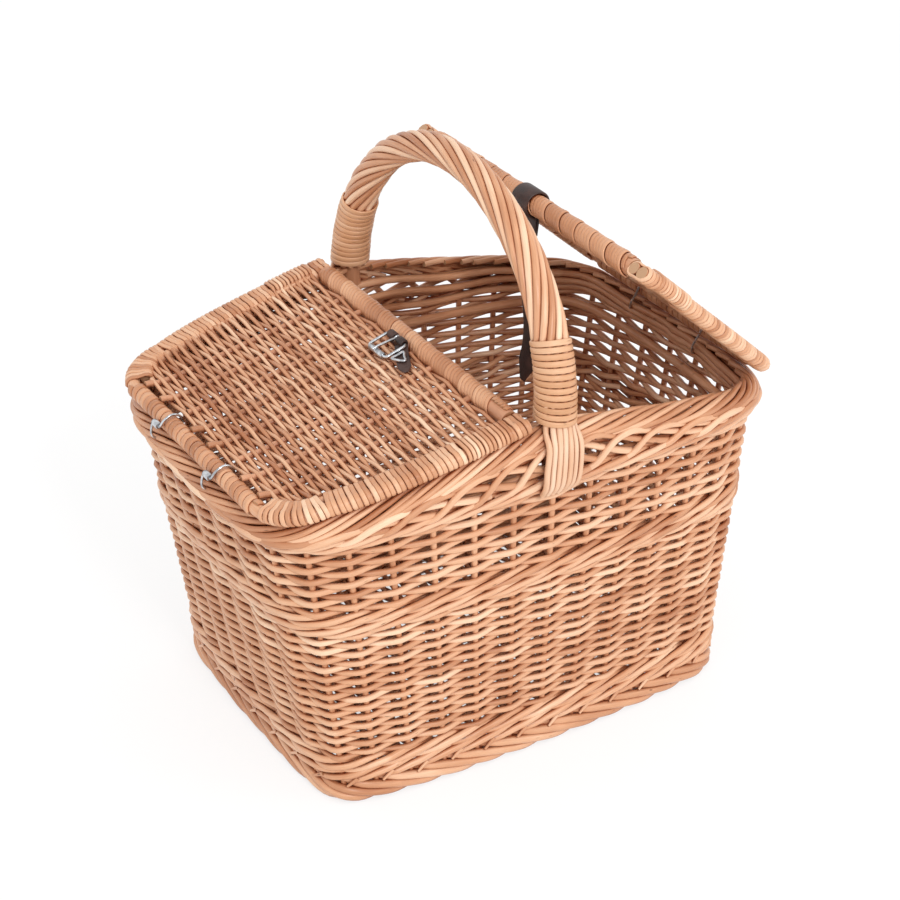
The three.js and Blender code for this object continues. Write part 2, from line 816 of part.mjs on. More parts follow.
// Buckle, in the frame of the closed lid, about a pin along Y held in a fold of leather

const pinHole = buckleWireRadius + pivotGap;
const foldRadius = pinHole + leatherThickness;

// The leather's edge view: two layers side by side that open round the pin.
function leatherFold(legWidth, drop, hole, fold) {
  const shape = new THREE.Shape();
  const join = Math.asin(legWidth / fold);
  shape.moveTo(-legWidth, -drop);
  shape.lineTo(legWidth, -drop);
  shape.lineTo(legWidth, -fold * Math.cos(join));
  for (let i = 0; i <= 12; i += 1) {
    const a = -Math.PI / 2 + join + (i / 12) * (Math.PI * 2 - 2 * join);
    shape.lineTo(Math.cos(a) * fold, Math.sin(a) * fold);
  }
  shape.lineTo(-legWidth, -drop);
  const round = new THREE.Path();
  for (let i = 0; i <= 10; i += 1) {
    const a = (i / 10) * Math.PI * 2;
    if (i === 0) round.moveTo(hole, 0);
    else round.lineTo(Math.cos(a) * hole, Math.sin(a) * hole);
  }
  shape.holes.push(round);
  return shape;
}

function extrudeAcross(shape, width) {
  const geometry = new THREE.ExtrudeGeometry(shape, { depth: width, bevelEnabled: false, steps: 1 });
  geometry.rotateX(Math.PI / 2);
  geometry.translate(0, width / 2, 0);
  return geometry;
}

function makeBuckleLeather() {
  const shape = leatherFold(leatherThickness, pinHeight + leatherDrop, pinHole, foldRadius);
  const slot = new THREE.BoxGeometry(foldRadius * 2 + 4, tongueRadius * 2 + 2.6, foldRadius + 6);
  slot.translate(0, 0, foldRadius / 2 + 1.2 - pinHole);
  return cut(extrudeAcross(shape, leatherWidth), [slot]);
}

const rollerHeight = seatGap / 2 + lidWeaveThickness + seatGap + rollerRadius;
const frameHalf = leatherWidth / 2 + buckleWireRadius + 0.9;

// The buckle's wire frame round the pin and the roller, as one closed run with round corners.
function makeBuckleFrame() {
  const fall = rollerHeight - pinHeight;
  const corner = 2.2;
  const points = [];
  const add = (share, y) => points.push(new THREE.Vector3(-buckleReach * share, y, fall * share));
  const c = corner / buckleReach;
  add(0, -frameHalf + corner);
  add(0, 0);
  add(0, frameHalf - corner);
  add(c * 0.3, frameHalf - corner * 0.3);
  add(c, frameHalf);
  add(1 - c, frameHalf);
  add(1 - c * 0.3, frameHalf - corner * 0.3);
  add(1, frameHalf - corner);
  add(1, -frameHalf + corner);
  add(1 - c * 0.3, -frameHalf + corner * 0.3);
  add(1 - c, -frameHalf);
  add(c, -frameHalf);
  add(c * 0.3, -frameHalf + corner * 0.3);
  return rodAlong(points, buckleWireRadius, 6, true);
}

function makeBuckleRoller() {
  const half = frameHalf - 2.2 - 0.6;
  const geometry = new THREE.LatheGeometry(tubeProfile(buckleWireRadius + seatGap, rollerRadius, half), 10);
  geometry.translate(-buckleReach, 0, rollerHeight - pinHeight);
  return geometry;
}

// The tongue: an eye round the pin and a straight arm that rests on the roller.
function makeBuckleTongue() {
  const eyeOuter = pinHole + 1.5;
  const eye = new THREE.LatheGeometry(tubeProfile(pinHole - 0.1, eyeOuter, tongueRadius), 12);
  const restZ = rollerHeight - pinHeight + rollerRadius + seatGap + tongueRadius;
  const from = new THREE.Vector3(-pinHole - 0.4, 0, 0.6);
  const knee = new THREE.Vector3(-buckleReach * 0.55, 0, restZ);
  const tip = new THREE.Vector3(-buckleReach - rollerRadius - 0.8, 0, restZ);
  const arm = rodAlong([from, knee, tip], tongueRadius, 6);
  return fromManifold(toManifold(eye).add(toManifold(arm)));
}

// A small three-cornered wire keeper that lies on the weave beside the leather.
function makeKeeper() {
  const z = seatGap / 2 + lidWeaveThickness + seatGap + buckleWireRadius;
  const y = -frameHalf - 2.4;
  const x = leatherX - 4;
  const corners = [[0, 0], [-keeperSide * 0.9, -keeperSide * 0.15], [-keeperSide * 0.35, -keeperSide * 0.85]];
  const points = [];
  corners.forEach((c, i) => {
    const n = corners[(i + 1) % 3];
    for (const t of [0.12, 0.5, 0.88]) points.push(new THREE.Vector3(x + mix(c[0], n[0], t), y + mix(c[1], n[1], t), z));
  });
  return rodAlong(points, buckleWireRadius, 6, true);
}

// The long strap, looped round the other lid's centre bar, hanging straight down from it.
function makeStrap() {
  const hole = centreBarOuter + pivotGap;
  const fold = hole + leatherThickness;
  const shape = new THREE.Shape();
  const leg = leatherThickness / 2 + 0.2;
  const join = Math.asin(leg / fold);
  shape.moveTo(leg, -fold * Math.cos(join));
  for (let i = 0; i <= 20; i += 1) {
    const a = -Math.PI / 2 + join + (i / 20) * (Math.PI * 2 - 2 * join);
    shape.lineTo(Math.cos(a) * fold, Math.sin(a) * fold);
  }
  for (let i = 1; i <= 8; i += 1) {
    const s = i / 8;
    shape.lineTo(-leg + strapCurl(s), -fold - (strapLength - fold) * s);
  }
  for (let i = 8; i >= 1; i -= 1) {
    const s = i / 8;
    shape.lineTo(leg + strapCurl(s), -fold - (strapLength - fold) * s);
  }
  const round = new THREE.Path();
  for (let i = 0; i <= 16; i += 1) {
    const a = (i / 16) * Math.PI * 2;
    if (i === 0) round.moveTo(hole, 0);
    else round.lineTo(Math.cos(a) * hole, Math.sin(a) * hole);
  }
  shape.holes.push(round);
  return extrudeAcross(shape, leatherWidth);
}

// The strap's tip stands a little off the plumb line.
function strapCurl(share) {
  return -9 * share ** 3;
}

// Materials

const willow = new THREE.MeshStandardMaterial({ color: 0xc8905c, roughness: 0.55, metalness: 0 });
const paleWillow = new THREE.MeshStandardMaterial({ color: 0xd9a877, roughness: 0.5, metalness: 0 });
const darkWillow = new THREE.MeshStandardMaterial({ color: 0xa9714a, roughness: 0.6, metalness: 0 });
const skein = new THREE.MeshStandardMaterial({ color: 0xc48a54, roughness: 0.42, metalness: 0 });
const leather = new THREE.MeshStandardMaterial({ color: 0x33211c, roughness: 0.6, metalness: 0 });
const steel = new THREE.MeshStandardMaterial({ color: 0xc9ccd0, roughness: 0.3, metalness: 1 });

function piece(name, geometry, material) {
  const mesh = new THREE.Mesh(geometry, material);
  mesh.name = name;
  return mesh;
}

// Assembly

const basket = new THREE.Group();

basket.add(piece('foot_border', makeFootBorder(), willow));
basket.add(piece('base_floor', makeBaseFloor(), darkWillow));
basket.add(piece('inner_hoop', makeInnerHoop(), darkWillow));
basket.add(piece('upset_wale', makeWaling(upsetBottom, lowerSidingBottom), willow));
basket.add(piece('lower_siding', makeSiding(lowerSidingBottom, waleBottom, () => waleBottom, lowerRowCount), willow));
basket.add(piece('middle_wale', makeWaling(waleBottom, upperSidingBottom), paleWillow));
const upperTop = (x) => borderBottom(x) - seatGap;
basket.add(piece('upper_siding', makeSiding(upperSidingBottom, borderBottomAtEnds, upperTop, upperRowCount), willow));
basket.add(piece('top_border', makeTopBorder(), willow));
basket.add(piece('handle_bow', makeHandleBow(), darkWillow));
for (let i = 0; i < ropeRodCount; i += 1) {
  basket.add(piece(`handle_rope_rod_${i + 1}`, makeRopeRod(i), paleWillow));
}
basket.add(piece('handle_binding_front', makeHandleBinding(-1, 'handle_binding_front'), skein));
basket.add(piece('handle_binding_back', makeHandleBinding(1, 'handle_binding_back'), skein));
basket.add(piece('handle_tail_front', makeHandleTail(-1), paleWillow));
basket.add(piece('handle_tail_back', makeHandleTail(1), paleWillow));

for (const [end, endName] of [[-1, 'left'], [1, 'right']]) {
  for (const [side, sideName] of [[-1, 'front'], [1, 'back']]) {
    const y = side * hingeSpread;
    basket.add(piece(`${endName}_hinge_wire_${sideName}`, makeHingeWire(end, y), steel));
    basket.add(piece(`${endName}_hinge_sleeve_${sideName}`, makeHingeSleeve(end, y), steel));
  }
}

// One lid with all that is fixed to it, in its own frame.
function makeLid(name, frontSide) {
  const lid = new THREE.Group();
  lid.add(piece(`${name}_bow`, makeLidBow(), willow));
  lid.add(piece(`${name}_side_rod_front`, makeLidSideRod(frontSide), willow));
  lid.add(piece(`${name}_side_rod_back`, makeLidSideRod(-frontSide), willow));
  lid.add(piece(`${name}_centre_bar`, makeCentreBar(), darkWillow));
  lid.add(piece(`${name}_panel`, makeLidPanel(), willow));
  lid.add(piece(`${name}_hinge_binding`, makeHingeSkein(`${name}_hinge_binding`), skein));
  lid.add(piece(`${name}_centre_binding`, makeCentreSkein(`${name}_centre_binding`), skein));
  return lid;
}

const leftLid = makeLid('left_lid', -1);
leftLid.position.set(-hingeX, 0, hingeZ);
leftLid.rotation.y = -lidSlope;

const buckle = new THREE.Group();
buckle.position.set(leatherX, 0, pinHeight);
buckle.add(piece('buckle_leather', makeBuckleLeather(), leather));
buckle.add(piece('buckle_frame', makeBuckleFrame(), steel));
buckle.add(piece('buckle_roller', makeBuckleRoller(), steel));
buckle.add(piece('buckle_tongue', makeBuckleTongue(), steel));
leftLid.add(buckle);
leftLid.add(piece('buckle_keeper', makeKeeper(), steel));
basket.add(leftLid);

const rightSeat = new THREE.Group();
rightSeat.position.set(hingeX, 0, hingeZ);
rightSeat.rotation.z = Math.PI;
const rightLid = makeLid('right_lid', 1);
const openAngle = lidSlope + THREE.MathUtils.degToRad(rightLidOpening);
rightLid.rotation.y = -openAngle;
rightSeat.add(rightLid);
basket.add(rightSeat);

const strapSeat = new THREE.Group();
const strapX = hingeX - lidReach * Math.cos(openAngle);
const strapZ = hingeZ + lidReach * Math.sin(openAngle);
strapSeat.position.set(strapX, 0, strapZ);
strapSeat.add(piece('strap', makeStrap(), leather));
basket.add(strapSeat);

console.log(`left hinge axis x ${(-hingeX).toFixed(2)} z ${hingeZ.toFixed(2)}`);
console.log(`lid slope ${THREE.MathUtils.radToDeg(lidSlope).toFixed(2)} deg, reach ${lidReach.toFixed(2)} mm`);
console.log(`buckle pin x ${leatherX.toFixed(2)} up ${pinHeight.toFixed(2)} in the lid's frame`);
console.log(`strap axis x ${strapX.toFixed(2)} z ${strapZ.toFixed(2)}`);

export default basket;
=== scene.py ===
"""Two-lidded willow picnic basket: its rods, skeins, wires and straps, with a studio round it.

Sizes are in millimetres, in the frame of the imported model, and become metres where a mesh is made.
"""

import logging
import math
from dataclasses import dataclass, field
from enum import Enum
from functools import partial
from typing import Any, Callable, Iterable, Sequence

import bmesh
import bpy
import numpy as np
from mathutils import Matrix, Vector


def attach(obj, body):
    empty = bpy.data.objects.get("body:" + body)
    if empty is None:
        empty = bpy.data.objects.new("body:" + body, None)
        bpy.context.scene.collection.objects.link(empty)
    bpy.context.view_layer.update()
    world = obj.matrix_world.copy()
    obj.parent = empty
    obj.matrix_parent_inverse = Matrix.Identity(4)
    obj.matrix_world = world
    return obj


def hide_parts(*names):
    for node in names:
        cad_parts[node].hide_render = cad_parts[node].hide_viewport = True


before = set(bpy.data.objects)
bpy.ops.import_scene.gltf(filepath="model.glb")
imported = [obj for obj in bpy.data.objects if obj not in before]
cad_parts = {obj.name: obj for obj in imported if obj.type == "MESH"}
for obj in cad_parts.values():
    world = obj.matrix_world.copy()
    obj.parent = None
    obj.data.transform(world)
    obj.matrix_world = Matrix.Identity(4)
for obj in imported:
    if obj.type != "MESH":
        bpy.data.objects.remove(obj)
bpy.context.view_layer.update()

LOG = logging.getLogger("basket")
MM = 0.001
Array = np.ndarray
Nodes = Callable[..., Any]


# Small tools


def linear(code: str) -> tuple[float, float, float, float]:
    """Turn an sRGB hex colour into linear light.

    Args:
        code: colour as "#rrggbb".

    Returns:
        Red, green, blue and alpha.
    """
    parts = [int(code[i:i + 2], 16) / 255 for i in (1, 3, 5)]
    r, g, b = [c / 12.92 if c <= 0.04045 else ((c + 0.055) / 1.055) ** 2.4 for c in parts]
    return (r, g, b, 1.0)

def add_node(tree: bpy.types.NodeTree, kind: str, inputs: dict[Any, Any] | None = None, output: Any = 0,
             stops: Sequence[tuple[float, str]] = (), **settings: Any) -> bpy.types.NodeSocket | None:
    """Add a node with its settings, its inputs' values and its links.

    Args:
        tree: node tree that gets the node.
        kind: type name of the node.
        inputs: what each input gets, by name or number: a value, the output of another node, or an
            operation with its terms.
        output: output that is wanted, by name or number.
        stops: places and colours, where the node is a colour ramp.
        settings: attributes of the node.

    Returns:
        The wanted output, or None for a node without outputs.
    """
    node = tree.nodes.new(kind)
    for name, value in settings.items():
        setattr(node, name, value)
    for place, code in stops:
        node.color_ramp.elements.new(place).color = linear(code)
    if stops:
        for end in (0, -1):
            node.color_ramp.elements.remove(node.color_ramp.elements[end])
    for key, value in (inputs or {}).items():
        if isinstance(value, tuple) and isinstance(value[0], str):
            value = add_node(tree, "ShaderNodeMath", dict(enumerate(value[1:])), operation=value[0])
        if isinstance(value, bpy.types.NodeSocket):
            tree.links.new(value, node.inputs[key])
        else:
            node.inputs[key].default_value = value
    return node.outputs[output] if len(node.outputs) else None


def fresh_nodes(owner: bpy.types.Material | bpy.types.World) -> Nodes:
    """Empty the node tree of a material or a world.

    Args:
        owner: the material or the world.

    Returns:
        The function that adds nodes to the tree.
    """
    owner.use_nodes = True
    owner.node_tree.nodes.clear()
    return partial(add_node, owner.node_tree)


def mix(a: Any, b: Any, t: Any) -> Any:
    """Return the value at share t of the way from a to b."""
    return a + (b - a) * t


def xyz(x: Any, y: Any, z: Any = 0.0) -> Array:
    """Return points, one row each, from numbers or arrays of coordinates."""
    return np.column_stack(np.broadcast_arrays(x, y, z))


def run_of(points: Array, power: float = 1.0) -> Array:
    """Return the distance of each point along its line, with each step raised to a power."""
    return np.concatenate([[0], np.cumsum(np.linalg.norm(np.diff(points, axis=0), axis=1) ** power)])


def read_line(points: Array, run: Array, at: Any) -> Array:
    """Return the points of a line at distances along it."""
    return np.stack([np.interp(at, run, part) for part in points.T], axis=-1)


def draw_tint(chance: np.random.Generator, middle: float, spread: float, low: float = 0.05,
              high: float = 0.95) -> float:
    """Draw the tint of a rod about a middle value, between two limits."""
    return float(np.clip(chance.normal(middle, spread), low, high))


def curve_values(keys: Sequence[float], values: Sequence[float], at: Array) -> Array:
    """Run a smooth line through key values.

    Args:
        keys: rising places of the keys.
        values: value at each key.
        at: places to read.

    Returns:
        The value at each place.
    """
    k = np.asarray(keys, float)
    v = np.asarray(values, float)
    slope = np.gradient(v, k)
    i = np.clip(np.searchsorted(k, at, side="right") - 1, 0, len(k) - 2)
    h = k[i + 1] - k[i]
    t = np.clip((at - k[i]) / h, 0, 1)
    a = (1 + 2 * t) * (1 - t) ** 2 * v[i] + t * (1 - t) ** 2 * h * slope[i]
    return a + t * t * (3 - 2 * t) * v[i + 1] + t * t * (t - 1) * h * slope[i + 1]


def spline(keys: Iterable[Sequence[float]], count: int, closed: bool = False) -> Array:
    """Run a smooth space curve through key points, at even steps.

    Args:
        keys: points to pass through.
        count: number of points wanted.
        closed: whether the curve meets itself.

    Returns:
        Points, one row each.
    """
    k = np.asarray(list(keys), float)
    if closed:
        k = np.vstack([k[-2:], k, k[:3]])
    run = run_of(k, 0.7)
    first, last = (run[2], run[-3]) if closed else (run[0], run[-1])
    raw = np.stack([curve_values(run, part, np.linspace(first, last, count * 8)) for part in k.T], axis=1)
    along = run_of(raw)
    return read_line(raw, along, np.linspace(0, along[-1], count + closed)[:count])


# Plan and heights of the body


@dataclass(frozen=True)
class Body:
    """Outline and heights of the basket's body, as the solids have them."""

    foot_half_length: float = 164
    foot_end_bulge: float = 5
    foot_half_width: float = 124
    foot_side_bulge: float = 9
    rim_half_length: float = 199
    rim_end_bulge: float = 10
    rim_half_width: float = 135
    rim_side_bulge: float = 15.5
    foot_corner_power: float = 11
    rim_corner_power: float = 7
    end_share: float = 0.4
    foot_height: float = 18
    upset_height: float = 18
    lower_height: float = 109
    wale_height: float = 15
    upper_height: float = 53
    border_end_height: float = 20
    border_lift: float = 8
    rim_rise: float = 37
    crest_round: float = 0.05
    inset_foot: float = 7.3
    inset_rim: float = 10.5
    stakes: int = 40

    @property
    def lower_bottom(self) -> float:
        """Height where the lower siding starts."""
        return self.foot_height + self.upset_height

    @property
    def wale_bottom(self) -> float:
        """Height where the middle wale starts."""
        return self.lower_bottom + self.lower_height

    @property
    def upper_bottom(self) -> float:
        """Height where the upper siding starts."""
        return self.wale_bottom + self.wale_height

    @property
    def border_level(self) -> float:
        """Height where the border starts at the ends."""
        return self.upper_bottom + self.upper_height

    @property
    def rim_level(self) -> float:
        """Height of the border's top at the ends."""
        return self.border_level + self.border_end_height

    def crest(self, x: Array) -> Array:
        """Return the share of the crest's rise: 1 in the middle, 0 at the ends."""
        u = np.minimum(np.abs(x) / self.rim_half_length, 1)
        span = math.hypot(1, self.crest_round) - self.crest_round
        return 1 - (np.hypot(u, self.crest_round) - self.crest_round) / span

    def rim_top(self, x: Array) -> Array:
        """Return the height of the border's top at a place along X."""
        return self.rim_level + self.rim_rise * self.crest(x)

    def border_bottom(self, x: Array) -> Array:
        """Return the height of the border's lower edge at a place along X."""
        return self.border_level + self.border_lift * self.crest(x)

    def wall_inset(self, level: Array) -> Array:
        """Return how far the wall's middle stands inside the plan at a height."""
        return mix(self.inset_foot, self.inset_rim, level / self.rim_level)

    def ring(self, level: float) -> Array:
        """Sample the plan at a height, twenty points to each stake, with a stake at each corner.

        Args:
            level: height above the ground.

        Returns:
            Points X, Y of one round, counterclockwise from +X.
        """
        t = level / self.rim_level
        half_length = mix(self.foot_half_length, self.rim_half_length, t)
        half_width = mix(self.foot_half_width, self.rim_half_width, t)
        end_bulge = mix(self.foot_end_bulge, self.rim_end_bulge, t)
        side_bulge = mix(self.foot_side_bulge, self.rim_side_bulge, t)
        power = mix(self.foot_corner_power, self.rim_corner_power, min(t, 1))
        angle = np.linspace(0, 2 * np.pi, 2881)
        u = np.sign(np.cos(angle)) * np.abs(np.cos(angle)) ** (2 / power)
        v = np.sign(np.sin(angle)) * np.abs(np.sin(angle)) ** (2 / power)
        x = half_length * u + end_bulge * u * (1 - v * v)
        y = (half_width + side_bulge * (1 - u * u)) * v
        run = np.concatenate([[0], np.cumsum(np.hypot(np.diff(x), np.diff(y)))])
        corner, quarter = run[360], run[720]
        turn = np.linspace(0, 4, self.stakes * 20 + 1)
        share = np.where(turn % 2 < 1, turn % 1, 1 - turn % 1)
        reach = np.interp(share, [0, self.end_share, 1], [0, corner, quarter])
        wanted = np.floor(turn) * quarter + np.where(turn % 2 < 1, reach, quarter - reach)
        wanted[-1] = run[-1]
        return np.stack([np.interp(wanted, run, x), np.interp(wanted, run, y)], axis=1)

    def place(self, stake: Array, level: Array, inset: Array) -> tuple[Array, Array]:
        """Find points of the wall by stake number, height of the plan and inset.

        Args:
            stake: place round the body, in stakes.
            level: height whose plan is meant.
            inset: distance inside that plan.

        Returns:
            Points X, Y and the directions that face outward there.
        """
        low, high = self.ring(0), self.ring(self.rim_level)
        s = np.mod(stake, self.stakes) * 20
        steps = np.arange(len(low))
        t = (np.asarray(level, float) / self.rim_level)[..., None]

        def at(where: Array) -> Array:
            """Return plan points at places counted in twentieths of a stake."""
            both = [np.stack([np.interp(where, steps, r[:, c]) for c in (0, 1)], axis=-1) for r in (low,
                                                                                                    high)]
            return mix(both[0], both[1], t)

        top = self.stakes * 20
        along = at(np.mod(s + 4, top)) - at(np.mod(s - 4, top))
        along /= np.linalg.norm(along, axis=-1, keepdims=True)
        out = np.stack([along[..., 1], -along[..., 0]], axis=-1)
        return at(s) - out * np.asarray(inset, float)[..., None], out

    def half_width_at(self, x: Array) -> Array:
        """Return half the width of the rim's plan at a place along X."""
        u = np.minimum(np.abs(x) / self.rim_half_length, 0.995)
        v = (1 - u ** self.rim_corner_power) ** (1 / self.rim_corner_power)
        return (self.rim_half_width + self.rim_side_bulge * (1 - u * u)) * v

    def round(self, parts: int) -> Array:
        """Return places all round the body, in stakes, with a number of them to each stake."""
        return np.arange(self.stakes * parts) / parts

    def rod(self, stake: Any, level: Any, inset: Any, height: Any) -> Array:
        """Follow a rod along the wall.

        Args:
            stake: places round the body, in stakes.
            level: height whose plan is meant.
            inset: distance inside that plan.
            height: height of the rod, or a rule that gives it at a place along X.

        Returns:
            Points of the rod.
        """
        spot, _ = self.place(stake, level, inset)
        return xyz(*spot.T, height(spot[:, 0]) if callable(height) else height)


BODY = Body()
STEPS = 6
WALE_STAKES = 39
HINGE_SPREAD = 40


# Finishes


@dataclass(frozen=True)
class Surface:
    """What every finish has: the name of its material and the name of its slot."""

    name: str
    slot: str

    def look(self, node: Nodes) -> dict[str, Any]:
        """Return the inputs of the shader; each kind of finish has its own."""
        raise NotImplementedError

    def make(self) -> bpy.types.Material:
        """Build the material's nodes.

        Returns:
            The material.
        """
        material = bpy.data.materials.new(self.name)
        node = fresh_nodes(material)
        node("ShaderNodeOutputMaterial", {"Surface": node("ShaderNodeBsdfPrincipled", self.look(node))})
        return material


@dataclass(frozen=True)
class Willow(Surface):
    """Peeled willow rod, boiled and lacquered: warm tan with long streaks, a satin skin and small buds."""

    dark: str
    middle: str
    light: str
    roughness: float = 0.36
    streak: float = 0.34
    pith: str = "#BC9470"
    # Painted shade: the colour multiplied into the grooves where rods meet.
    groove_shade_colour: str = "#B4703F"
    scar: str = "#6B3F26"
    skin_radius: float = 2.2

    def look(self, node: Nodes) -> dict[str, Any]:
        """Build streaks, patches, bud scars, cut ends and painted shade in the grooves.

        Args:
            node: adds a node to the material.

        Returns:
            The inputs of the shader.
        """
        around, along, rod, tint, cut = [node("ShaderNodeAttribute", output="Fac", attribute_name=name)
                                         for name in ("around", "along", "rod", "tint", "cut")]
        turn = ("MULTIPLY", around, 2 * math.pi)
        skin = {"X": ("MULTIPLY", ("COSINE", turn), self.skin_radius),
                "Y": ("MULTIPLY", ("SINE", turn), self.skin_radius)}
        each_rod = ("MULTIPLY", rod, 900.0)
        # Streaks are about 0.6 mm wide and 25 mm long, in millimetres round and along the rod.
        place = node("ShaderNodeCombineXYZ", {**skin, "Z": ("ADD", ("MULTIPLY", along, 40.0), each_rod)})
        streaks = node("ShaderNodeTexNoise", {"Vector": place, "Scale": 1.5, "Detail": 4.0, "Roughness": 0.6},
                       "Fac")
        # Patches some 40 mm long, where a rod took more or less colour in the boil.
        spot = node("ShaderNodeTexCoord", output="Object")
        patches = node("ShaderNodeTexNoise", {"Vector": spot, "Scale": 26.0, "Detail": 2.0}, "Fac")
        streaked = ("ADD", tint, ("MULTIPLY", ("SUBTRACT", streaks, 0.5), self.streak * 2))
        shade = node("ShaderNodeMath", {0: streaked, 1: ("MULTIPLY", ("SUBTRACT", patches, 0.5), 0.5)},
                     operation="ADD", use_clamp=True)
        wood = node("ShaderNodeValToRGB", {"Fac": shade},
                    stops=((0.02, self.dark), (0.5, self.middle), (0.95, self.light)))
        # Bud scars: brown specks about 1.5 mm long, a few to each rod.
        place = node("ShaderNodeCombineXYZ", {**skin, "Z": ("ADD", ("MULTIPLY", along, 500.0), each_rod)})
        cells = node("ShaderNodeTexVoronoi", {"Vector": place, "Scale": 0.09, "Randomness": 1.0}, "Distance")
        scar = node("ShaderNodeMapRange", {"Value": cells, "From Min": 0.05, "From Max": 0.1, "To Min": 1.0,
                                           "To Max": 0.0})
        # Painted shade: a redder, darker colour multiplied in within some 6 mm of where rods lie against each
        # other, where ambient occlusion finds the grooves shut in.
        near = node("ShaderNodeAmbientOcclusion", {"Distance": 0.006}, "AO", samples=6)
        shade_in_grooves = node("ShaderNodeMapRange", {"Value": near, "From Min": 0.15, "From Max": 0.75, "To Min": 1.0,
                                             "To Max": 0.0})
        for share, colour, blend in ((("MULTIPLY", scar, 0.75), self.scar, "MIX"),
                                     (("MULTIPLY", cut, 0.9), self.pith, "MIX"),
                                     (shade_in_grooves, self.groove_shade_colour, "MULTIPLY")):
            wood = node("ShaderNodeMix", {"Factor": share, "A": wood, "B": linear(colour)}, "Result",
                        data_type="RGBA", blend_type=blend)
        return {"Base Color": wood, "IOR": 1.5,
                "Roughness": ("ADD", ("MULTIPLY", streaks, 0.22), self.roughness - 0.11),
                "Normal": node("ShaderNodeBump", {"Height": streaks, "Strength": 0.35, "Distance": 0.0004})}


@dataclass(frozen=True)
class Leather(Surface):
    """Waxed cowhide, dyed dark brown: pebbled grain with a dull shine and worn, paler rises."""

    dark: str
    middle: str
    light: str

    def look(self, node: Nodes) -> dict[str, Any]:
        """Build grain and wear.

        Args:
            node: adds a node to the material.

        Returns:
            The inputs of the shader.
        """
        spot = node("ShaderNodeTexCoord", output="Object")
        # Grain cells are about 1 mm across.
        cells = node("ShaderNodeTexVoronoi", {"Vector": spot, "Scale": 900.0, "Smoothness": 0.6}, "Distance",
                     feature="SMOOTH_F1")
        wear = node("ShaderNodeTexNoise", {"Vector": spot, "Scale": 90.0, "Detail": 4.0}, "Fac")
        hide = node("ShaderNodeValToRGB", {"Fac": wear},
                    stops=((0.3, self.dark), (0.55, self.middle), (0.85, self.light)))
        return {"Base Color": hide, "IOR": 1.5,
                "Roughness": node("ShaderNodeMapRange", {"Value": wear, "To Min": 0.38, "To Max": 0.6}),
                "Normal": node("ShaderNodeBump", {"Height": cells, "Strength": 0.4, "Distance": 0.0003})}


@dataclass(frozen=True)
class Steel(Surface):
    """Drawn steel wire with bright zinc plating: cool and shiny, with faint cloudy dulling."""

    bright: str
    dull: str

    def look(self, node: Nodes) -> dict[str, Any]:
        """Build the clouded plating.

        Args:
            node: adds a node to the material.

        Returns:
            The inputs of the shader.
        """
        spot = node("ShaderNodeTexCoord", output="Object")
        # Cloudy spots are 3 to 5 mm across.
        cloud = node("ShaderNodeTexNoise", {"Vector": spot, "Scale": 260.0, "Detail": 3.0}, "Fac")
        plating = node("ShaderNodeValToRGB", {"Fac": cloud}, stops=((0.35, self.dull), (0.6, self.bright)))
        return {"Base Color": plating, "Metallic": 1.0,
                "Roughness": node("ShaderNodeMapRange", {"Value": cloud, "To Min": 0.36, "To Max": 0.2}),
                "Normal": node("ShaderNodeBump", {"Height": cloud, "Strength": 0.1, "Distance": 0.0002})}


class Finish(Enum):
    """Every finish of the basket."""

    BUFF = Willow("boiled_willow", "willow_buff", "#B07049", "#DBA47D", "#F4CFAE")
    PALE = Willow("pale_willow", "willow_pale", "#C08E69", "#E0B28F", "#F2D3B7")
    DARK = Willow("dark_willow", "willow_dark", "#A0663F", "#CE9470", "#E8B895")
    SKEIN = Willow("split_willow_skein", "willow_skein", "#B07A50", "#D5A077", "#E9C29F", streak=0.42)
    SHAVED = Willow("shaved_willow_skein", "willow_skein", "#A0643E", "#CE926A", "#E9B891", 0.33, 0.4)
    LEATHER = Leather("waxed_cowhide", "strap_leather", "#1E1210", "#3A2520", "#5B3D33")
    STEEL = Steel("zinc_plated_wire", "wire_steel", "#D9DCE0", "#A9ACB0")


# Rods and skeins: lines with sizes, made solid by geometry nodes


@dataclass
class Line:
    """One rod or skein before it has a section."""

    points: Array
    radius: Any = 2.0
    tint: Any = 0.5
    closed: bool = False
    phase: Any = 0.0
    out: Any = (0.0, 0.0, 0.0)


class Section(Enum):
    """Sections that a line can be given."""

    ROUND = "round_rod"
    FLAT = "flat_skein"


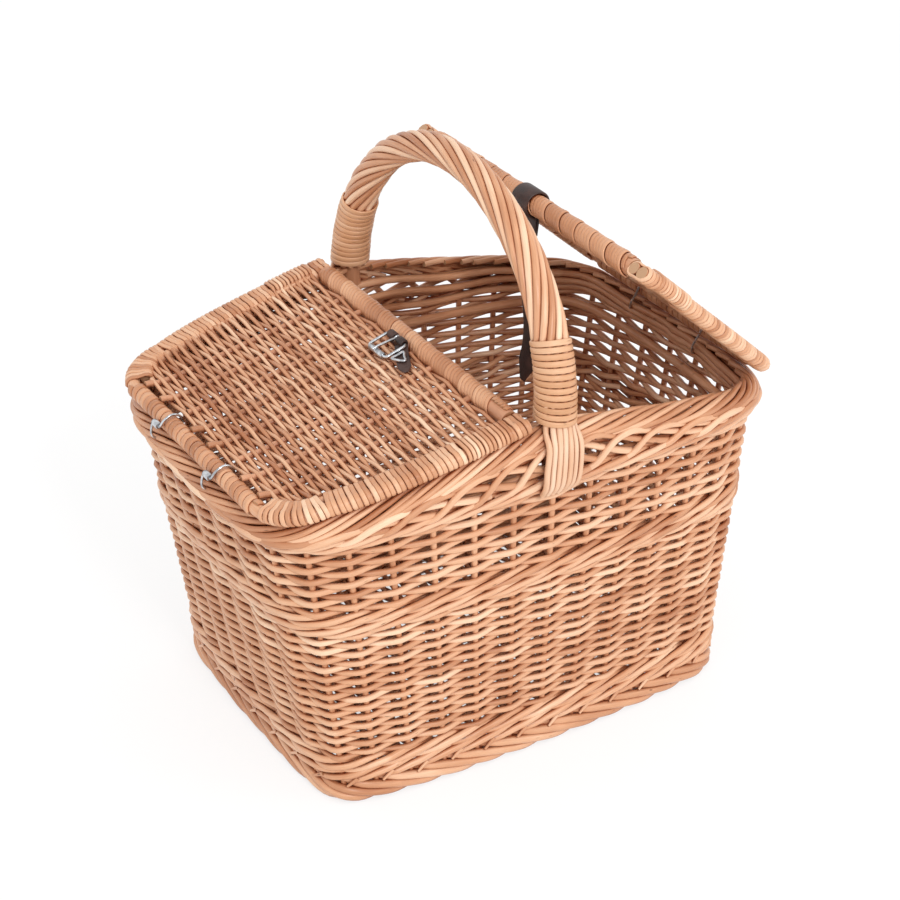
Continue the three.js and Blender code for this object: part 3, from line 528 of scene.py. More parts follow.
def rod_tree(section: Section) -> bpy.types.NodeTree:
    """Make the geometry nodes that turn lines into rods or skeins.

    Args:
        section: round rod or flat skein.

    Returns:
        The node tree, with named inputs for its sizes.
    """
    tree = bpy.data.node_groups.new(section.value, "GeometryNodeTree")
    for name, kind in (("Geometry", "Geometry"), ("Sides", "Int"), ("Swing", "Float"), ("Lean", "Float"),
                       ("Wander", "Float"), ("Width", "Float"), ("Thickness", "Float"), ("Seed", "Int"),
                       ("Finish", "Material")):
        tree.interface.new_socket(name, in_out="INPUT", socket_type=f"NodeSocket{kind}")
    tree.interface.new_socket("Geometry", in_out="OUTPUT", socket_type="NodeSocketGeometry")
    node = partial(add_node, tree)
    given = tree.nodes.new("NodeGroupInput").outputs
    phase, rod, thick = [node("GeometryNodeInputNamedAttribute", {"Name": name}) for name in ("phase", "rod",
                                                                                              "thick")]
    out = node("GeometryNodeInputNamedAttribute", {"Name": "out"}, data_type="FLOAT_VECTOR")
    turn = node("ShaderNodeMath", {0: phase, 1: math.pi}, operation="MULTIPLY")
    # A cosine with a little of its third overtone: straighter between the stakes, rounder before them.
    wave = ("ADD", ("COSINE", turn), ("MULTIPLY", ("COSINE", ("MULTIPLY", turn, 3.0)), 0.11))
    outward = ("MULTIPLY", ("MULTIPLY", wave, 1 / 1.11), given["Swing"])
    lift = node("ShaderNodeCombineXYZ", {"Z": ("MULTIPLY", ("SINE", turn), given["Lean"])})
    noise = node("ShaderNodeTexNoise", {"Scale": 22.0, "Detail": 1.0,
                                        "W": ("ADD", ("MULTIPLY", rod, 83.0), given["Seed"])}, "Color",
                 noise_dimensions="4D")
    centred = node("ShaderNodeVectorMath", {0: noise, 1: (0.5, 0.5, 0.5)}, operation="SUBTRACT")
    shift = node("ShaderNodeVectorMath", {0: centred, "Scale": given["Wander"]}, operation="SCALE")
    swung = node("ShaderNodeVectorMath", {0: out, "Scale": outward}, operation="SCALE")
    offset = node("ShaderNodeVectorMath", {0: swung, 1: lift}, operation="ADD")
    offset = node("ShaderNodeVectorMath", {0: offset, 1: shift}, operation="ADD")
    line = node("GeometryNodeSetPosition", {"Geometry": given["Geometry"], "Offset": offset})
    line = node("GeometryNodeMeshToCurve", {0: line})
    length = node("GeometryNodeSplineParameter", output="Length")
    line = node("GeometryNodeStoreNamedAttribute", {"Geometry": line, "Name": "along", "Value": length})
    if section is Section.ROUND:
        shape = node("GeometryNodeCurvePrimitiveCircle", {"Radius": 1.0, "Resolution": given["Sides"]})
    else:
        line = node("GeometryNodeSetCurveNormal", {0: line, "Normal": out}, mode="FREE")
        shape = node("GeometryNodeCurvePrimitiveQuadrilateral",
                     {"Width": given["Thickness"], "Height": given["Width"]})
        shape = node("GeometryNodeFilletCurve",
                     {0: shape, "Count": 2, "Radius": ("MULTIPLY", given["Thickness"], 0.49)}, mode="POLY")
    across = node("GeometryNodeSplineParameter", output="Factor")
    shape = node("GeometryNodeStoreNamedAttribute", {"Geometry": shape, "Name": "around", "Value": across})
    skin = node("GeometryNodeCurveToMesh",
                {"Curve": line, "Profile Curve": shape, "Scale": thick, "Fill Caps": True})
    corners = node("GeometryNodeInputMeshFaceNeighbors", output="Vertex Count")
    is_cut = node("FunctionNodeCompare", {"A": corners, "B": 4}, data_type="INT", operation="GREATER_THAN")
    skin = node("GeometryNodeStoreNamedAttribute", {"Geometry": skin, "Name": "cut", "Value": is_cut},
                domain="FACE")
    whole = node("FunctionNodeBooleanMath", {0: is_cut}, operation="NOT")
    skin = node("GeometryNodeSetShadeSmooth", {0: skin, "Shade Smooth": whole}, domain="FACE")
    real = node("GeometryNodeRealizeInstances", {0: skin})
    node("NodeGroupOutput", {0: node("GeometryNodeSetMaterial", {0: real, "Material": given["Finish"]})})
    return tree


@dataclass
class Bundle:
    """Lines that become one piece: they share a section, a finish and a body."""

    name: str
    lines: list[Line]
    finish: Finish
    nodes: Sequence[str] = ()
    body: str = "basket"
    slot: str = ""
    section: Section = Section.ROUND
    sides: int = 8
    swing: float = 0.0
    lean: float = 0.0
    wander: float = 0.0
    width: float = 5.0
    thickness: float = 1.0
    seed: int = 3
    place: Matrix = field(default_factory=Matrix)

    def edges(self) -> bpy.types.Object:
        """Make the lines as loose edges that carry their sizes as attributes.

        Returns:
            The object that the geometry nodes work on.
        """
        points, pairs = [], []
        data: dict[str, list[Array]] = {"thick": [], "tint": [], "rod": [], "phase": [], "out": []}
        chance = np.random.default_rng(self.seed)
        turn = np.array(self.place.to_3x3())
        scale = MM if self.section is Section.ROUND else 1.0
        start = 0
        for line in self.lines:
            count = len(line.points)
            points.append(np.asarray(line.points) @ turn.T + np.array(self.place.translation))
            for key, value in (("thick", np.asarray(line.radius, float) * scale), ("tint", line.tint),
                               ("rod", chance.random()), ("phase", line.phase)):
                data[key].append(np.broadcast_to(value, count))
            data["out"].append(np.broadcast_to(np.asarray(line.out, float), (count, 3)) @ turn.T)
            pairs += [(start + i, start + i + 1) for i in range(count - 1)]
            pairs += [(start + count - 1, start)] * line.closed
            start += count
        mesh = bpy.data.meshes.new(f"{self.name}_lines")
        mesh.from_pydata((np.vstack(points) * MM).tolist(), pairs, [])
        for key, parts in data.items():
            kind = "FLOAT_VECTOR" if key == "out" else "FLOAT"
            layer = mesh.attributes.new(key, kind, "POINT")
            layer.data.foreach_set("vector" if key == "out" else "value",
                                   np.concatenate(parts).astype(np.float32).ravel())
        made = bpy.data.objects.new(f"{self.name}_lines", mesh)
        bpy.context.scene.collection.objects.link(made)
        return made

    def build(self, tree: bpy.types.NodeTree) -> bpy.types.Object:
        """Run the geometry nodes and keep their result as a plain mesh.

        Args:
            tree: node tree of this bundle's section.

        Returns:
            The finished object, at the origin.
        """
        source = self.edges()
        nodes = source.modifiers.new("section", "NODES")
        nodes.node_group = tree
        sizes = {"Sides": self.sides, "Swing": self.swing * MM, "Lean": self.lean * MM,
                 "Wander": self.wander * MM,
                 "Width": self.width * MM, "Thickness": self.thickness * MM, "Seed": self.seed,
                 "Finish": bpy.data.materials[self.finish.value.name]}
        for item in tree.interface.items_tree:
            if item.in_out == "INPUT" and item.name in sizes:
                nodes[item.identifier] = sizes[item.name]
        depsgraph = bpy.context.evaluated_depsgraph_get()
        mesh = bpy.data.meshes.new_from_object(source.evaluated_get(depsgraph), preserve_all_data_layers=True,
                                               depsgraph=depsgraph)
        mesh.name = self.name
        piece = bpy.data.objects.new(self.name, mesh)
        bpy.context.scene.collection.objects.link(piece)
        bpy.data.objects.remove(source)
        return piece

class Maker:
    """Turns bundles into finished pieces on the frame."""

    def __init__(self) -> None:
        """Make the finishes and the two node trees once."""
        for finish in Finish:
            finish.value.make()
        self.trees = {section: rod_tree(section) for section in Section}

    def make(self, bundle: Bundle) -> None:
        """Build a bundle, tie it to its body and hide the solids it stands for.

        Args:
            bundle: lines and settings of the piece.
        """
        piece = bundle.build(self.trees[bundle.section])
        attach(piece, bundle.body)
        if bundle.nodes:
            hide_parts(*bundle.nodes)
        LOG.info("%s: %d faces", piece.name, len(piece.data.polygons))


# Body of the basket


def weaver_runs(chance: np.random.Generator, count: int, shortest: int, longest: int,
                steps: int) -> tuple[Array, Array]:
    """Share a round among weavers laid end to end, each with a colour and a taper.

    Args:
        chance: source of the choices.
        count: stakes in the round.
        shortest: fewest stakes that a weaver covers.
        longest: most stakes that a weaver covers.
        steps: points to each stake.

    Returns:
        Tint and radius factor at each point.
    """
    tint = np.zeros(count * steps)
    size = np.zeros(count * steps)
    at = 0
    shift = int(chance.integers(0, count * steps))
    while at < count:
        run = min(int(chance.integers(shortest, longest + 1)), count - at)
        part = slice(at * steps, (at + run) * steps)
        tint[part] = chance.normal(0.5, 0.17)
        size[part] = np.linspace(1.06, 0.92, run * steps)
        at += run
    return np.roll(np.clip(tint, 0.05, 0.95), shift), np.roll(size, shift)


def wale_rod(strand: int) -> tuple[Array, Array, Array]:
    """Follow one rod of a three-rod wale: before two stakes and behind one, over the other two.

    The pattern closes only over a multiple of three stakes, so the round is shared into 39.

    Args:
        strand: number of the rod, counted on from row to row.

    Returns:
        Places round the body in stakes, share of the swing outward and share of the rise.
    """
    stake = np.arange(WALE_STAKES * STEPS) / STEPS
    phase = np.mod(stake - strand, 3)
    outward = curve_values([-0.5, 0, 0.5, 1, 1.5, 2, 2.5, 3, 3.5], [0, -1, 0, 0.75, 1, 1, 0.2, -1, 0], phase)
    rise = curve_values([-0.5, 0, 0.5, 1.5, 2.5, 3, 3.5], [0.5, 0, -0.5, 0, 0.5, 0, -0.5], phase)
    return stake * BODY.stakes / WALE_STAKES, outward, rise


@dataclass
class Siding:
    """Randed wall: single rods that pass before and behind one stake in turn."""

    name: str
    bottom: float
    top: float
    follows_border: bool
    rows: int
    rod_radius: float
    swing: float
    seed: int
    set_back: float = 0.5

    def lines(self) -> list[Line]:
        """Lay out the rows.

        Returns:
            One closed line for each row.
        """
        chance = np.random.default_rng(self.seed)
        stake = BODY.round(STEPS)
        made = []
        for row in range(self.rows):
            share = (row + 0.5) / self.rows
            level = mix(self.bottom, self.top, share)
            spot, out = BODY.place(stake, level, BODY.wall_inset(level) + self.set_back)
            height = level
            if self.follows_border:
                height = mix(self.bottom, BODY.border_bottom(spot[:, 0]), share)
            tint, size = weaver_runs(chance, BODY.stakes, 7, 15, STEPS)
            made.append(Line(xyz(*spot.T, height), self.rod_radius * size, tint, True, stake + row,
                             xyz(*out.T)))
        return made

    def build(self, maker: Maker) -> None:
        """Build the wall."""
        maker.make(Bundle(self.name, self.lines(), Finish.BUFF, [self.name.replace("woven_", "")],
                          swing=self.swing,
                          lean=0.7, wander=1.2, seed=self.seed))


@dataclass
class Wale:
    """Three-rod wale: each rod passes before two stakes and behind one, over the other two."""

    name: str
    slot: str
    bottom: float
    top: float
    rod_radius: float
    swing: float
    seed: int
    rows: int = 2

    def lines(self) -> list[Line]:
        """Lay out the rods of every row.

        Returns:
            Three closed lines for each row.
        """
        chance = np.random.default_rng(self.seed)
        pitch = (self.top - self.bottom) / self.rows
        made = []
        for row in range(self.rows):
            level = mix(self.bottom, self.top, (row + 0.5) / self.rows)
            for strand in range(3):
                stake, outward, rise = wale_rod(strand + row)
                points = BODY.rod(stake, level, BODY.wall_inset(level) - outward * self.swing,
                                  level + rise * pitch * 0.95)
                tint, size = weaver_runs(chance, WALE_STAKES, 9, 20, STEPS)
                made.append(Line(points, self.rod_radius * size, tint, True))
        return made

    def build(self, maker: Maker) -> None:
        """Build the wale."""
        maker.make(Bundle(self.name, self.lines(), Finish.BUFF, [self.name.replace("woven_", "")],
                          slot=self.slot,
                          wander=0.8, seed=self.seed))


@dataclass
class Stakes:
    """Upright stakes from the foot to the border, and their cut points under the upset."""

    radius: float = 2.3

    def build(self, maker: Maker) -> None:
        """Build the stakes and the points."""
        chance = np.random.default_rng(11)
        made = []
        level = np.linspace(4, BODY.border_level + 6, 18)
        for i in range(BODY.stakes):
            points = BODY.rod(np.full(len(level), float(i)), level, BODY.wall_inset(level), level)
            made.append(Line(points, self.radius, chance.uniform(0.2, 0.6)))
        share = np.linspace(0, 1, 5)
        for i in range(BODY.stakes):
            points = BODY.rod(i + 0.45 - 0.3 * share, 17.0, mix(3.6, 2.2, share),
                              mix(20.5, 14.6, share) + chance.normal(0, 0.5))
            made.append(Line(points, mix(1.9, 0.9, share), chance.uniform(0.3, 0.7)))
        maker.make(Bundle("stakes", made, Finish.BUFF, wander=0.8, seed=5))


@dataclass
class FootBorder:
    """Border under the basket: thick rods that come out below the upset and run down to the ground."""

    rod_radius: float = 3.2

    def build(self, maker: Maker) -> None:
        """Build the rods and the rounds that they are laid over."""
        chance = np.random.default_rng(21)
        made = []
        s = np.linspace(0, 3.3, 20)
        keys = [0, 0.5, 1.0, 1.8, 2.5, 3.3]
        inset = curve_values(keys, [9, 5.0, 3.7, 3.3, 4.6, 11], s)
        height = curve_values(keys, [17, 14.0, 11.5, 6.8, 3.7, 3.4], s)
        for i in range(BODY.stakes):
            points = BODY.rod(s + i + chance.normal(0, 0.05), 8.0, inset, height)
            made.append(Line(points, self.rod_radius * chance.uniform(0.93, 1.05),
                             draw_tint(chance, 0.42, 0.18)))
        for inset, height in ((9.5, 12.5), (14, 4.2), (14, 10.6)):
            made.append(Line(BODY.rod(BODY.round(4), 0.0, inset, height), self.rod_radius, 0.3, True))
        maker.make(Bundle("foot_border_rods", made, Finish.BUFF, ["foot_border"], sides=10, wander=0.8,
                          seed=8))


@dataclass
class Floor:
    """Woven bottom: thick sticks along the basket, rods across them."""

    stick_radius: float = 3.4
    stick_pitch: float = 33
    sticks: int = 7
    row_pitch: float = 4.1
    rod_radius: float = 2.05
    height: float = 8.2
    margin: float = 15

    def build(self, maker: Maker) -> None:
        """Build sticks and rods."""
        chance = np.random.default_rng(31)
        ring = BODY.ring(0)
        reach = ring[:, 0].max() - self.margin
        made = []
        for i in range(self.sticks):
            y = (i - (self.sticks - 1) / 2) * self.stick_pitch
            made.append(Line(xyz(np.linspace(-reach, reach, 24), y, self.height), self.stick_radius,
                             chance.uniform(0.2, 0.5)))
        rows = int(2 * reach / self.row_pitch)
        for row in range(rows):
            x = -reach + (row + 0.5) * 2 * reach / rows
            half = ring[np.abs(ring[:, 0] - x) < 3][:, 1].max() - self.margin
            y = np.linspace(-half, half, 49)
            made.append(Line(xyz(x, y, self.height), self.rod_radius, draw_tint(chance, 0.45, 0.15), False,
                             y / self.stick_pitch + row, (0, 0, 1)))
        maker.make(Bundle("woven_floor", made, Finish.DARK, ["base_floor"], sides=6, swing=3.9, wander=0.8,
                          seed=9))


@dataclass
class TopBorder:
    """Rim of the basket: rods rolled over the edge, a plait below them, and a wale under that."""

    roll_radius: float = 2.1
    plait_radius: float = 2.5
    wale_radius: float = 2.4

    def roll(self, chance: np.random.Generator) -> list[Line]:
        """Lay out the rolled rods, two to each stake, cut off square inside.

        Args:
            chance: source of small differences.

        Returns:
            Their lines.
        """
        made = []
        keys = [0, 0.5, 1.2, 1.9, 2.5, 3.05]
        for i in BODY.round(2):
            s = np.linspace(0, 3.05 + chance.normal(0, 0.07), 26)
            inset = curve_values(keys, [7.5, 4.3, 4.0, 7.5, 12.5, 15.2], s)
            drop = curve_values(keys, [17, 13.2, 9.2, 4.6, 3.2, 4.6], s) + chance.normal(0, 0.35)
            points = BODY.rod(s + i, BODY.rim_level, inset, lambda x: BODY.rim_top(x) - drop)
            made.append(Line(points, self.roll_radius * chance.uniform(0.93, 1.05),
                             draw_tint(chance, 0.38, 0.2, 0.03, 0.9)))
        return made

    def plait(self, chance: np.random.Generator) -> list[Line]:
        """Lay out the plaited rods: a short steep riser in front, then a long gentle fall behind.

        Args:
            chance: source of small differences.

        Returns:
            Their lines.
        """
        made = []
        keys = [-0.5, -0.1, 0.45, 0.8, 1.4, 2.1, 2.8, 3.3]
        s = np.linspace(-0.5, 3.3, 34)
        inset = curve_values(keys, [8, 4.0, 1.6, 1.7, 4.2, 4.6, 4.8, 8], s)
        rise = curve_values(keys, [0.0, 0.12, 0.8, 0.98, 0.86, 0.6, 0.3, 0.1], s)
        for i in range(BODY.stakes):
            points = BODY.rod(s + i + chance.normal(0, 0.04), BODY.rim_level - 8, inset,
                              lambda x: mix(BODY.border_bottom(x) + 6, BODY.rim_top(x) - 12.5, rise))
            made.append(Line(points, self.plait_radius * chance.uniform(0.92, 1.08),
                             draw_tint(chance, 0.5, 0.2)))
        return made

    def wale(self, chance: np.random.Generator) -> list[Line]:
        """Lay out the long rods that run below the plait, before two stakes and behind one.

        Args:
            chance: source of small differences.

        Returns:
            Their lines.
        """
        made = []
        for strand in range(3):
            stake, outward, rise = wale_rod(strand)
            points = BODY.rod(stake, BODY.border_level, 7.0 - outward * 3.6,
                              lambda x: BODY.border_bottom(x) + 5.2 + rise * 7)
            tint, size = weaver_runs(chance, WALE_STAKES, 5, 12, STEPS)
            made.append(Line(points, self.wale_radius * size, tint, True))
        return made

    def lining(self, chance: np.random.Generator) -> list[Line]:
        """Lay out the rods inside the rim, close under the rolled ones.

        Args:
            chance: source of small differences.

        Returns:
            Their lines.
        """
        made = []
        stake = BODY.round(5)
        for inset, share, radius in ((9, 0.62, 3.1), (9.5, 0.3, 3.1), (15.5, 0.68, 2.9), (16, 0.42, 2.9),
                                     (15, 0.12, 3.0)):
            swing = 0.9 * np.cos(stake * math.pi * 2 / 3 + inset)
            points = BODY.rod(stake, BODY.rim_level - 6, inset + swing,
                              lambda x: mix(BODY.border_bottom(x), BODY.rim_top(x) - 4, share) - swing)
            tint, size = weaver_runs(chance, BODY.stakes, 5, 10, 5)
            made.append(Line(points, radius * size, tint * 0.6, True))
        return made

    def build(self, maker: Maker) -> None:
        """Build the border's pieces and the hoop under it."""
        chance = np.random.default_rng(41)
        level = BODY.border_level - 10.4
        hoop = BODY.rod(BODY.round(4), level, float(BODY.wall_inset(level)) + 9.3,
                        lambda x: BODY.border_bottom(x) - 7)
        for name, lines, slot, sides, wander, seed, nodes in (
                ("border_roll", self.roll(chance), "willow_buff", 10, 0.9, 12, ["top_border"]),
                ("border_plait", self.plait(chance), "willow_buff", 10, 0.9, 13, []),
                ("border_wale", self.wale(chance), "willow_buff", 8, 0.8, 14, []),
                ("border_lining", self.lining(chance), "willow_dark", 8, 1.0, 15, []),
                ("inner_hoop_rod", [Line(hoop, 3.4, 0.4, True)], "willow_dark", 12, 0.6, 16, ["inner_hoop"])):
            maker.make(Bundle(name, lines, Finish.BUFF, nodes, slot=slot, sides=sides, wander=wander,
                              seed=seed))


# Handle


@dataclass
class Handle:
    """Bow handle: a thick core, rods laid round it like a rope, bound at both feet."""

    half_span: float = 140
    rise: float = 132
    lean: float = 9
    slimming: float = 0.2
    core_radius: float = 7.4
    rods: int = 12
    rod_radius: float = 2.8
    lay_radius: float = 10.7
    turns: float = 2.0
    bound_turns: int = 13
    bound_pitch: float = 4.2
    tail_rods: int = 7

    def __post_init__(self) -> None:
        """Work out the run of the bow from foot to foot."""
        top = BODY.rim_half_width + BODY.rim_side_bulge - BODY.inset_rim
        foot = BODY.foot_half_width + BODY.foot_side_bulge - BODY.inset_foot
        self.spring = float(BODY.rim_top(0.0))
        lean = (top - foot) / BODY.rim_level
        self.leg = self.spring - float(BODY.border_bottom(0.0)) - 0.3
        angle = np.linspace(0, math.pi, 361)
        up = np.sin(angle)
        bow = np.column_stack([self.lean * up, self.half_span * np.cos(angle), self.spring + self.rise * up])
        out = self.half_span - lean * self.leg
        foot_at = self.spring - self.leg
        self.path = np.vstack([[0, out, foot_at], bow, [0, -out, foot_at]])
        self.run = run_of(self.path)

    def at(self, distance: Array) -> tuple[Array, Array, Array]:
        """Find the bow's centre and the directions across it.

        Args:
            distance: distances along the bow from its back foot.

        Returns:
            Centres, directions along X and directions away from the bow's middle.
        """
        back, centre, ahead = [read_line(self.path, self.run, distance + step) for step in (-2.0, 0.0, 2.0)]
        run = ahead - back
        run /= np.linalg.norm(run, axis=1, keepdims=True)
        up = np.cross(run, (1.0, 0.0, 0.0))
        up /= np.linalg.norm(up, axis=1, keepdims=True)
        return centre, np.cross(up, run), up

    def girth(self, share: Array) -> Array:
        """Return the bow's thickness at a share of its run, as a share of that at its feet."""
        return 1 - self.slimming * (1 - np.abs(share * 2 - 1) ** 1.5)

    def build(self, maker: Maker) -> None:
        """Build core, rope, bindings and tails."""
        chance = np.random.default_rng(51)
        whole = self.run[-1]
        share = np.linspace(0, 1, 90)
        core = Line(self.at(share * whole)[0], self.core_radius * self.girth(share), 0.25)
        maker.make(Bundle("handle_core", [core], Finish.DARK, ["handle_bow"], sides=14))
        start = self.leg + 1
        share = np.linspace(0, 1, 130)
        girth = self.girth(share)
        centre, side, up = self.at(mix(start, whole - start, share))
        rope = []
        for i in range(self.rods):
            angle = (i / self.rods + share * self.turns) * 2 * math.pi
            swell = self.lay_radius * girth + 0.25 * np.sin(angle * 3 + i)
            points = centre + side * (np.cos(angle) * swell)[:, None] + up * (np.sin(angle) * swell)[:, None]
            rope.append(Line(points, self.rod_radius * girth * chance.uniform(0.95, 1.06),
                             draw_tint(chance, 0.5, 0.2, 0, 1)))
        maker.make(Bundle("handle_rope", rope, Finish.BUFF, [f"handle_rope_rod_{i + 1}" for i in range(8)],
                          slot="willow_pale", sides=10, wander=0.5, seed=17))
        for end, side in (("back", 1), ("front", -1)):
            maker.make(Bundle(f"binding_{end}", [self.binding(side)], Finish.SKEIN, [f"handle_binding_{end}"],
                              section=Section.FLAT, width=4.1, thickness=2.0))
            maker.make(Bundle(f"tail_{end}", self.tail(side, chance), Finish.PALE, [f"handle_tail_{end}"],
                              sides=10,
                              wander=0.6, seed=18))

    def binding(self, side: int) -> Line:
        """Lay out one binding: a skein wound close round the rope.

        Args:
            side: 1 at the back foot, -1 at the front foot.

        Returns:
            Its line.
        """
        t = np.linspace(0, self.bound_turns, self.bound_turns * 22)
        along = self.leg + 1.5 + t * self.bound_pitch
        centre, across, up = self.at(along if side > 0 else self.run[-1] - along)
        angle = t * 2 * math.pi
        out = across * np.cos(angle)[:, None] + up * np.sin(angle)[:, None]
        grip = (self.lay_radius + self.rod_radius) * self.girth(along / self.run[-1])
        radius = grip + 0.75 + 0.12 * np.sin(t * 5) + 0.2 * (1 - t / self.bound_turns)
        return Line(centre + out * radius[:, None], 1.0, 0.5 + 0.12 * np.sin(t * 1.7), out=out)

    def tail(self, side: int, chance: np.random.Generator) -> list[Line]:
        """Lay out one tail: rods that leave the binding and lie down over the border.

        Args:
            side: 1 at the back foot, -1 at the front foot.
            chance: source of small differences.

        Returns:
            Their lines.
        """
        low = float(BODY.border_bottom(0.0))
        outer = BODY.rim_half_width + BODY.rim_side_bulge
        made = []
        for i in range(self.tail_rods):
            u = i / (self.tail_rods - 1) * 2 - 1
            bow = math.sqrt(max(1 - (u * 0.85) ** 2, 0))
            keys = [(u * 9.5, side * (self.half_span + 9.6 * bow), self.spring + 16),
                    (u * 10, side * (self.half_span + 10.2 * bow), self.spring + 3),
                    (u * 11, side * (self.half_span + 11.6 * bow + 0.6), self.spring - 4),
                    (u * 12 - 0.4, side * (outer + 2.2 + 0.8 * bow), low + 38),
                    (u * 13 - 0.8, side * (outer + 2.5 + 0.6 * bow), low + 20),
                    (u * 12.5 - 1.4, side * (outer + 1.2), low + 6),
                    (u * 11.5 - 1.8, side * (outer - 3.5), low - 1)]
            made.append(Line(spline(keys, 22), 2.15 * chance.uniform(0.92, 1.08), chance.uniform(0.45, 0.9)))
        return made


# Lids


@dataclass
class Lid:
    """One lid: bent bow, side rods, woven panel, rods wrapped round the edges and a bound centre bar."""

    name: str
    seed: int
    opening: float = 0.0
    bow_radius: float = 4.5
    side_radius: float = 4.2
    corner: float = 34
    side_inset: float = 9
    hinge_inset: float = 13
    bar_radius: float = 6.4
    bar_offset: float = 27
    overhang: float = 6
    sticks: int = 8
    stick_pitch: float = 25
    stick_radius: float = 2.4
    row_pitch: float = 3.1
    weaver_radius: float = 1.5
    first_row: float = 9.6
    turned_span: float = 42
    wrap_pitch: float = 3.7

    def __post_init__(self) -> None:
        """Work out the hinge axis, the slope and the lid's place."""
        hinge_inner = (self.bow_radius + 0.15) / math.cos(math.pi / 6)
        self.hinge_x = BODY.rim_half_length + BODY.rim_end_bulge - self.hinge_inset
        self.hinge_z = float(BODY.rim_top(self.hinge_x)) + 0.3 + hinge_inner + 0.9
        bar_z = float(BODY.rim_top(self.bar_offset)) + 0.6 + self.bow_radius
        self.slope = math.atan2(bar_z - self.hinge_z, self.hinge_x - self.bar_offset)
        self.reach = (self.hinge_x - self.bar_offset) / math.cos(self.slope)
        bar_outer = (self.bar_radius + 0.15) / math.cos(math.pi / 10) + 0.9
        self.leather_x = self.reach - bar_outer - 2.5
        self.weave_end = self.leather_x + 1.9
        tilt = Matrix.Rotation(-self.slope - math.radians(self.opening), 4, "Y")
        side = -1 if self.name == "left_lid" else 1
        turned = Matrix.Rotation(math.pi if side > 0 else 0.0, 4, "Z")
        self.place = Matrix.Translation((side * self.hinge_x, 0, self.hinge_z)) @ turned @ tilt

    def side(self, x: Array) -> Array:
        """Return the distance from the lid's middle line to the bow's axis."""
        return BODY.half_width_at(self.hinge_x - x * math.cos(self.slope)) - self.side_inset

    def outline(self, offset: float, side: int, far: float, arc: float, step: float = 4.0) -> Array:
        """Follow the lid's edge from its far end round a corner.

        Args:
            offset: distance inward from the bow's axis.
            side: -1 or 1 for the lid's own right or left side.
            far: where it starts, measured from the hinge.
            arc: share of the corner that is followed.
            step: distance between points.

        Returns:
            Points of the line.
        """
        x = np.linspace(far, self.corner, max(int((far - self.corner) / step), 2))[:-1]
        angle = np.linspace(0, math.pi / 2 * arc, max(int(14 * arc), 3))
        r = self.corner - offset
        y = float(self.side(self.corner)) - self.corner + np.cos(angle) * r
        return np.vstack([xyz(x, side * (self.side(x) - offset)),
                          xyz(self.corner - np.sin(angle) * r, side * y)])

    def edge_wraps(self, chance: np.random.Generator) -> list[Line]:
        """Lay out the thin rods wrapped side by side round the bow and the side rod.

        Args:
            chance: source of small differences.

        Returns:
            One closed line for each wrap.
        """
        made = []
        far = self.reach + self.overhang - 2.2
        turned = (far - self.weave_end - 0.4, far - self.reach + self.turned_span)
        for side in (-1, 1):
            line = self.outline(0, side, far, 0.84, 1.0)
            run = run_of(line)
            for step, at in enumerate(np.arange(0, run[-1] - 1.5, self.wrap_pitch)):
                if turned[0] < at < turned[1]:
                    continue
                at += 0.16 if step % 2 else -0.16
                here, ahead, back = [read_line(line, run, p) for p in (at, min(at + 1, run[-1]),
                                                                       max(at - 1, 0))]
                along = (ahead - back) / np.linalg.norm(ahead - back)
                made.append(self.wrap(here, along, chance))
        return made

    def wrap(self, here: Array, along: Array, chance: np.random.Generator) -> Line:
        """Lay out one wrap: over the bow, across to the side rod, round it and back below.

        Args:
            here: point of the bow's axis.
            along: direction of the bow there.
            chance: source of small differences.

        Returns:
            Its closed line.
        """
        gap = self.bow_radius + self.side_radius + 0.3
        inward = np.array([along[1], -along[0], 0.0])
        if np.dot(np.array([max(here[0], self.corner), 0.0, 0.0]) - here, inward) < 0:
            inward = -inward
        lean = chance.normal(0.0, 0.14)
        points, outs = [], []
        for way, middle, radius, low in ((-1, here, self.bow_radius, 0.15),
                                         (1, here + inward * gap, self.side_radius, 0.75)):
            for degrees in np.linspace(-90, 90, 7) * -way:
                c, s = math.cos(math.radians(degrees)), math.sin(math.radians(degrees))
                d = inward * way * c + np.array([0, 0, s])
                lift = 0.75 if s > -0.4 else low
                points.append(middle + d * (radius + lift) + along * (0.9 * s + lean * s))
                outs.append(d)
            for share in (0.35, 0.65):
                up = np.array([0, 0, -1.0 * way])
                reach = share if way < 0 else 1 - share
                across = here + inward * gap * reach + up * (self.bow_radius + 0.1)
                points.append(across - along * way * (0.9 + lean))
                outs.append(up)
        return Line(np.array(points), 1.0, draw_tint(chance, 0.5, 0.16, 0, 1), True, 0.0, np.array(outs))

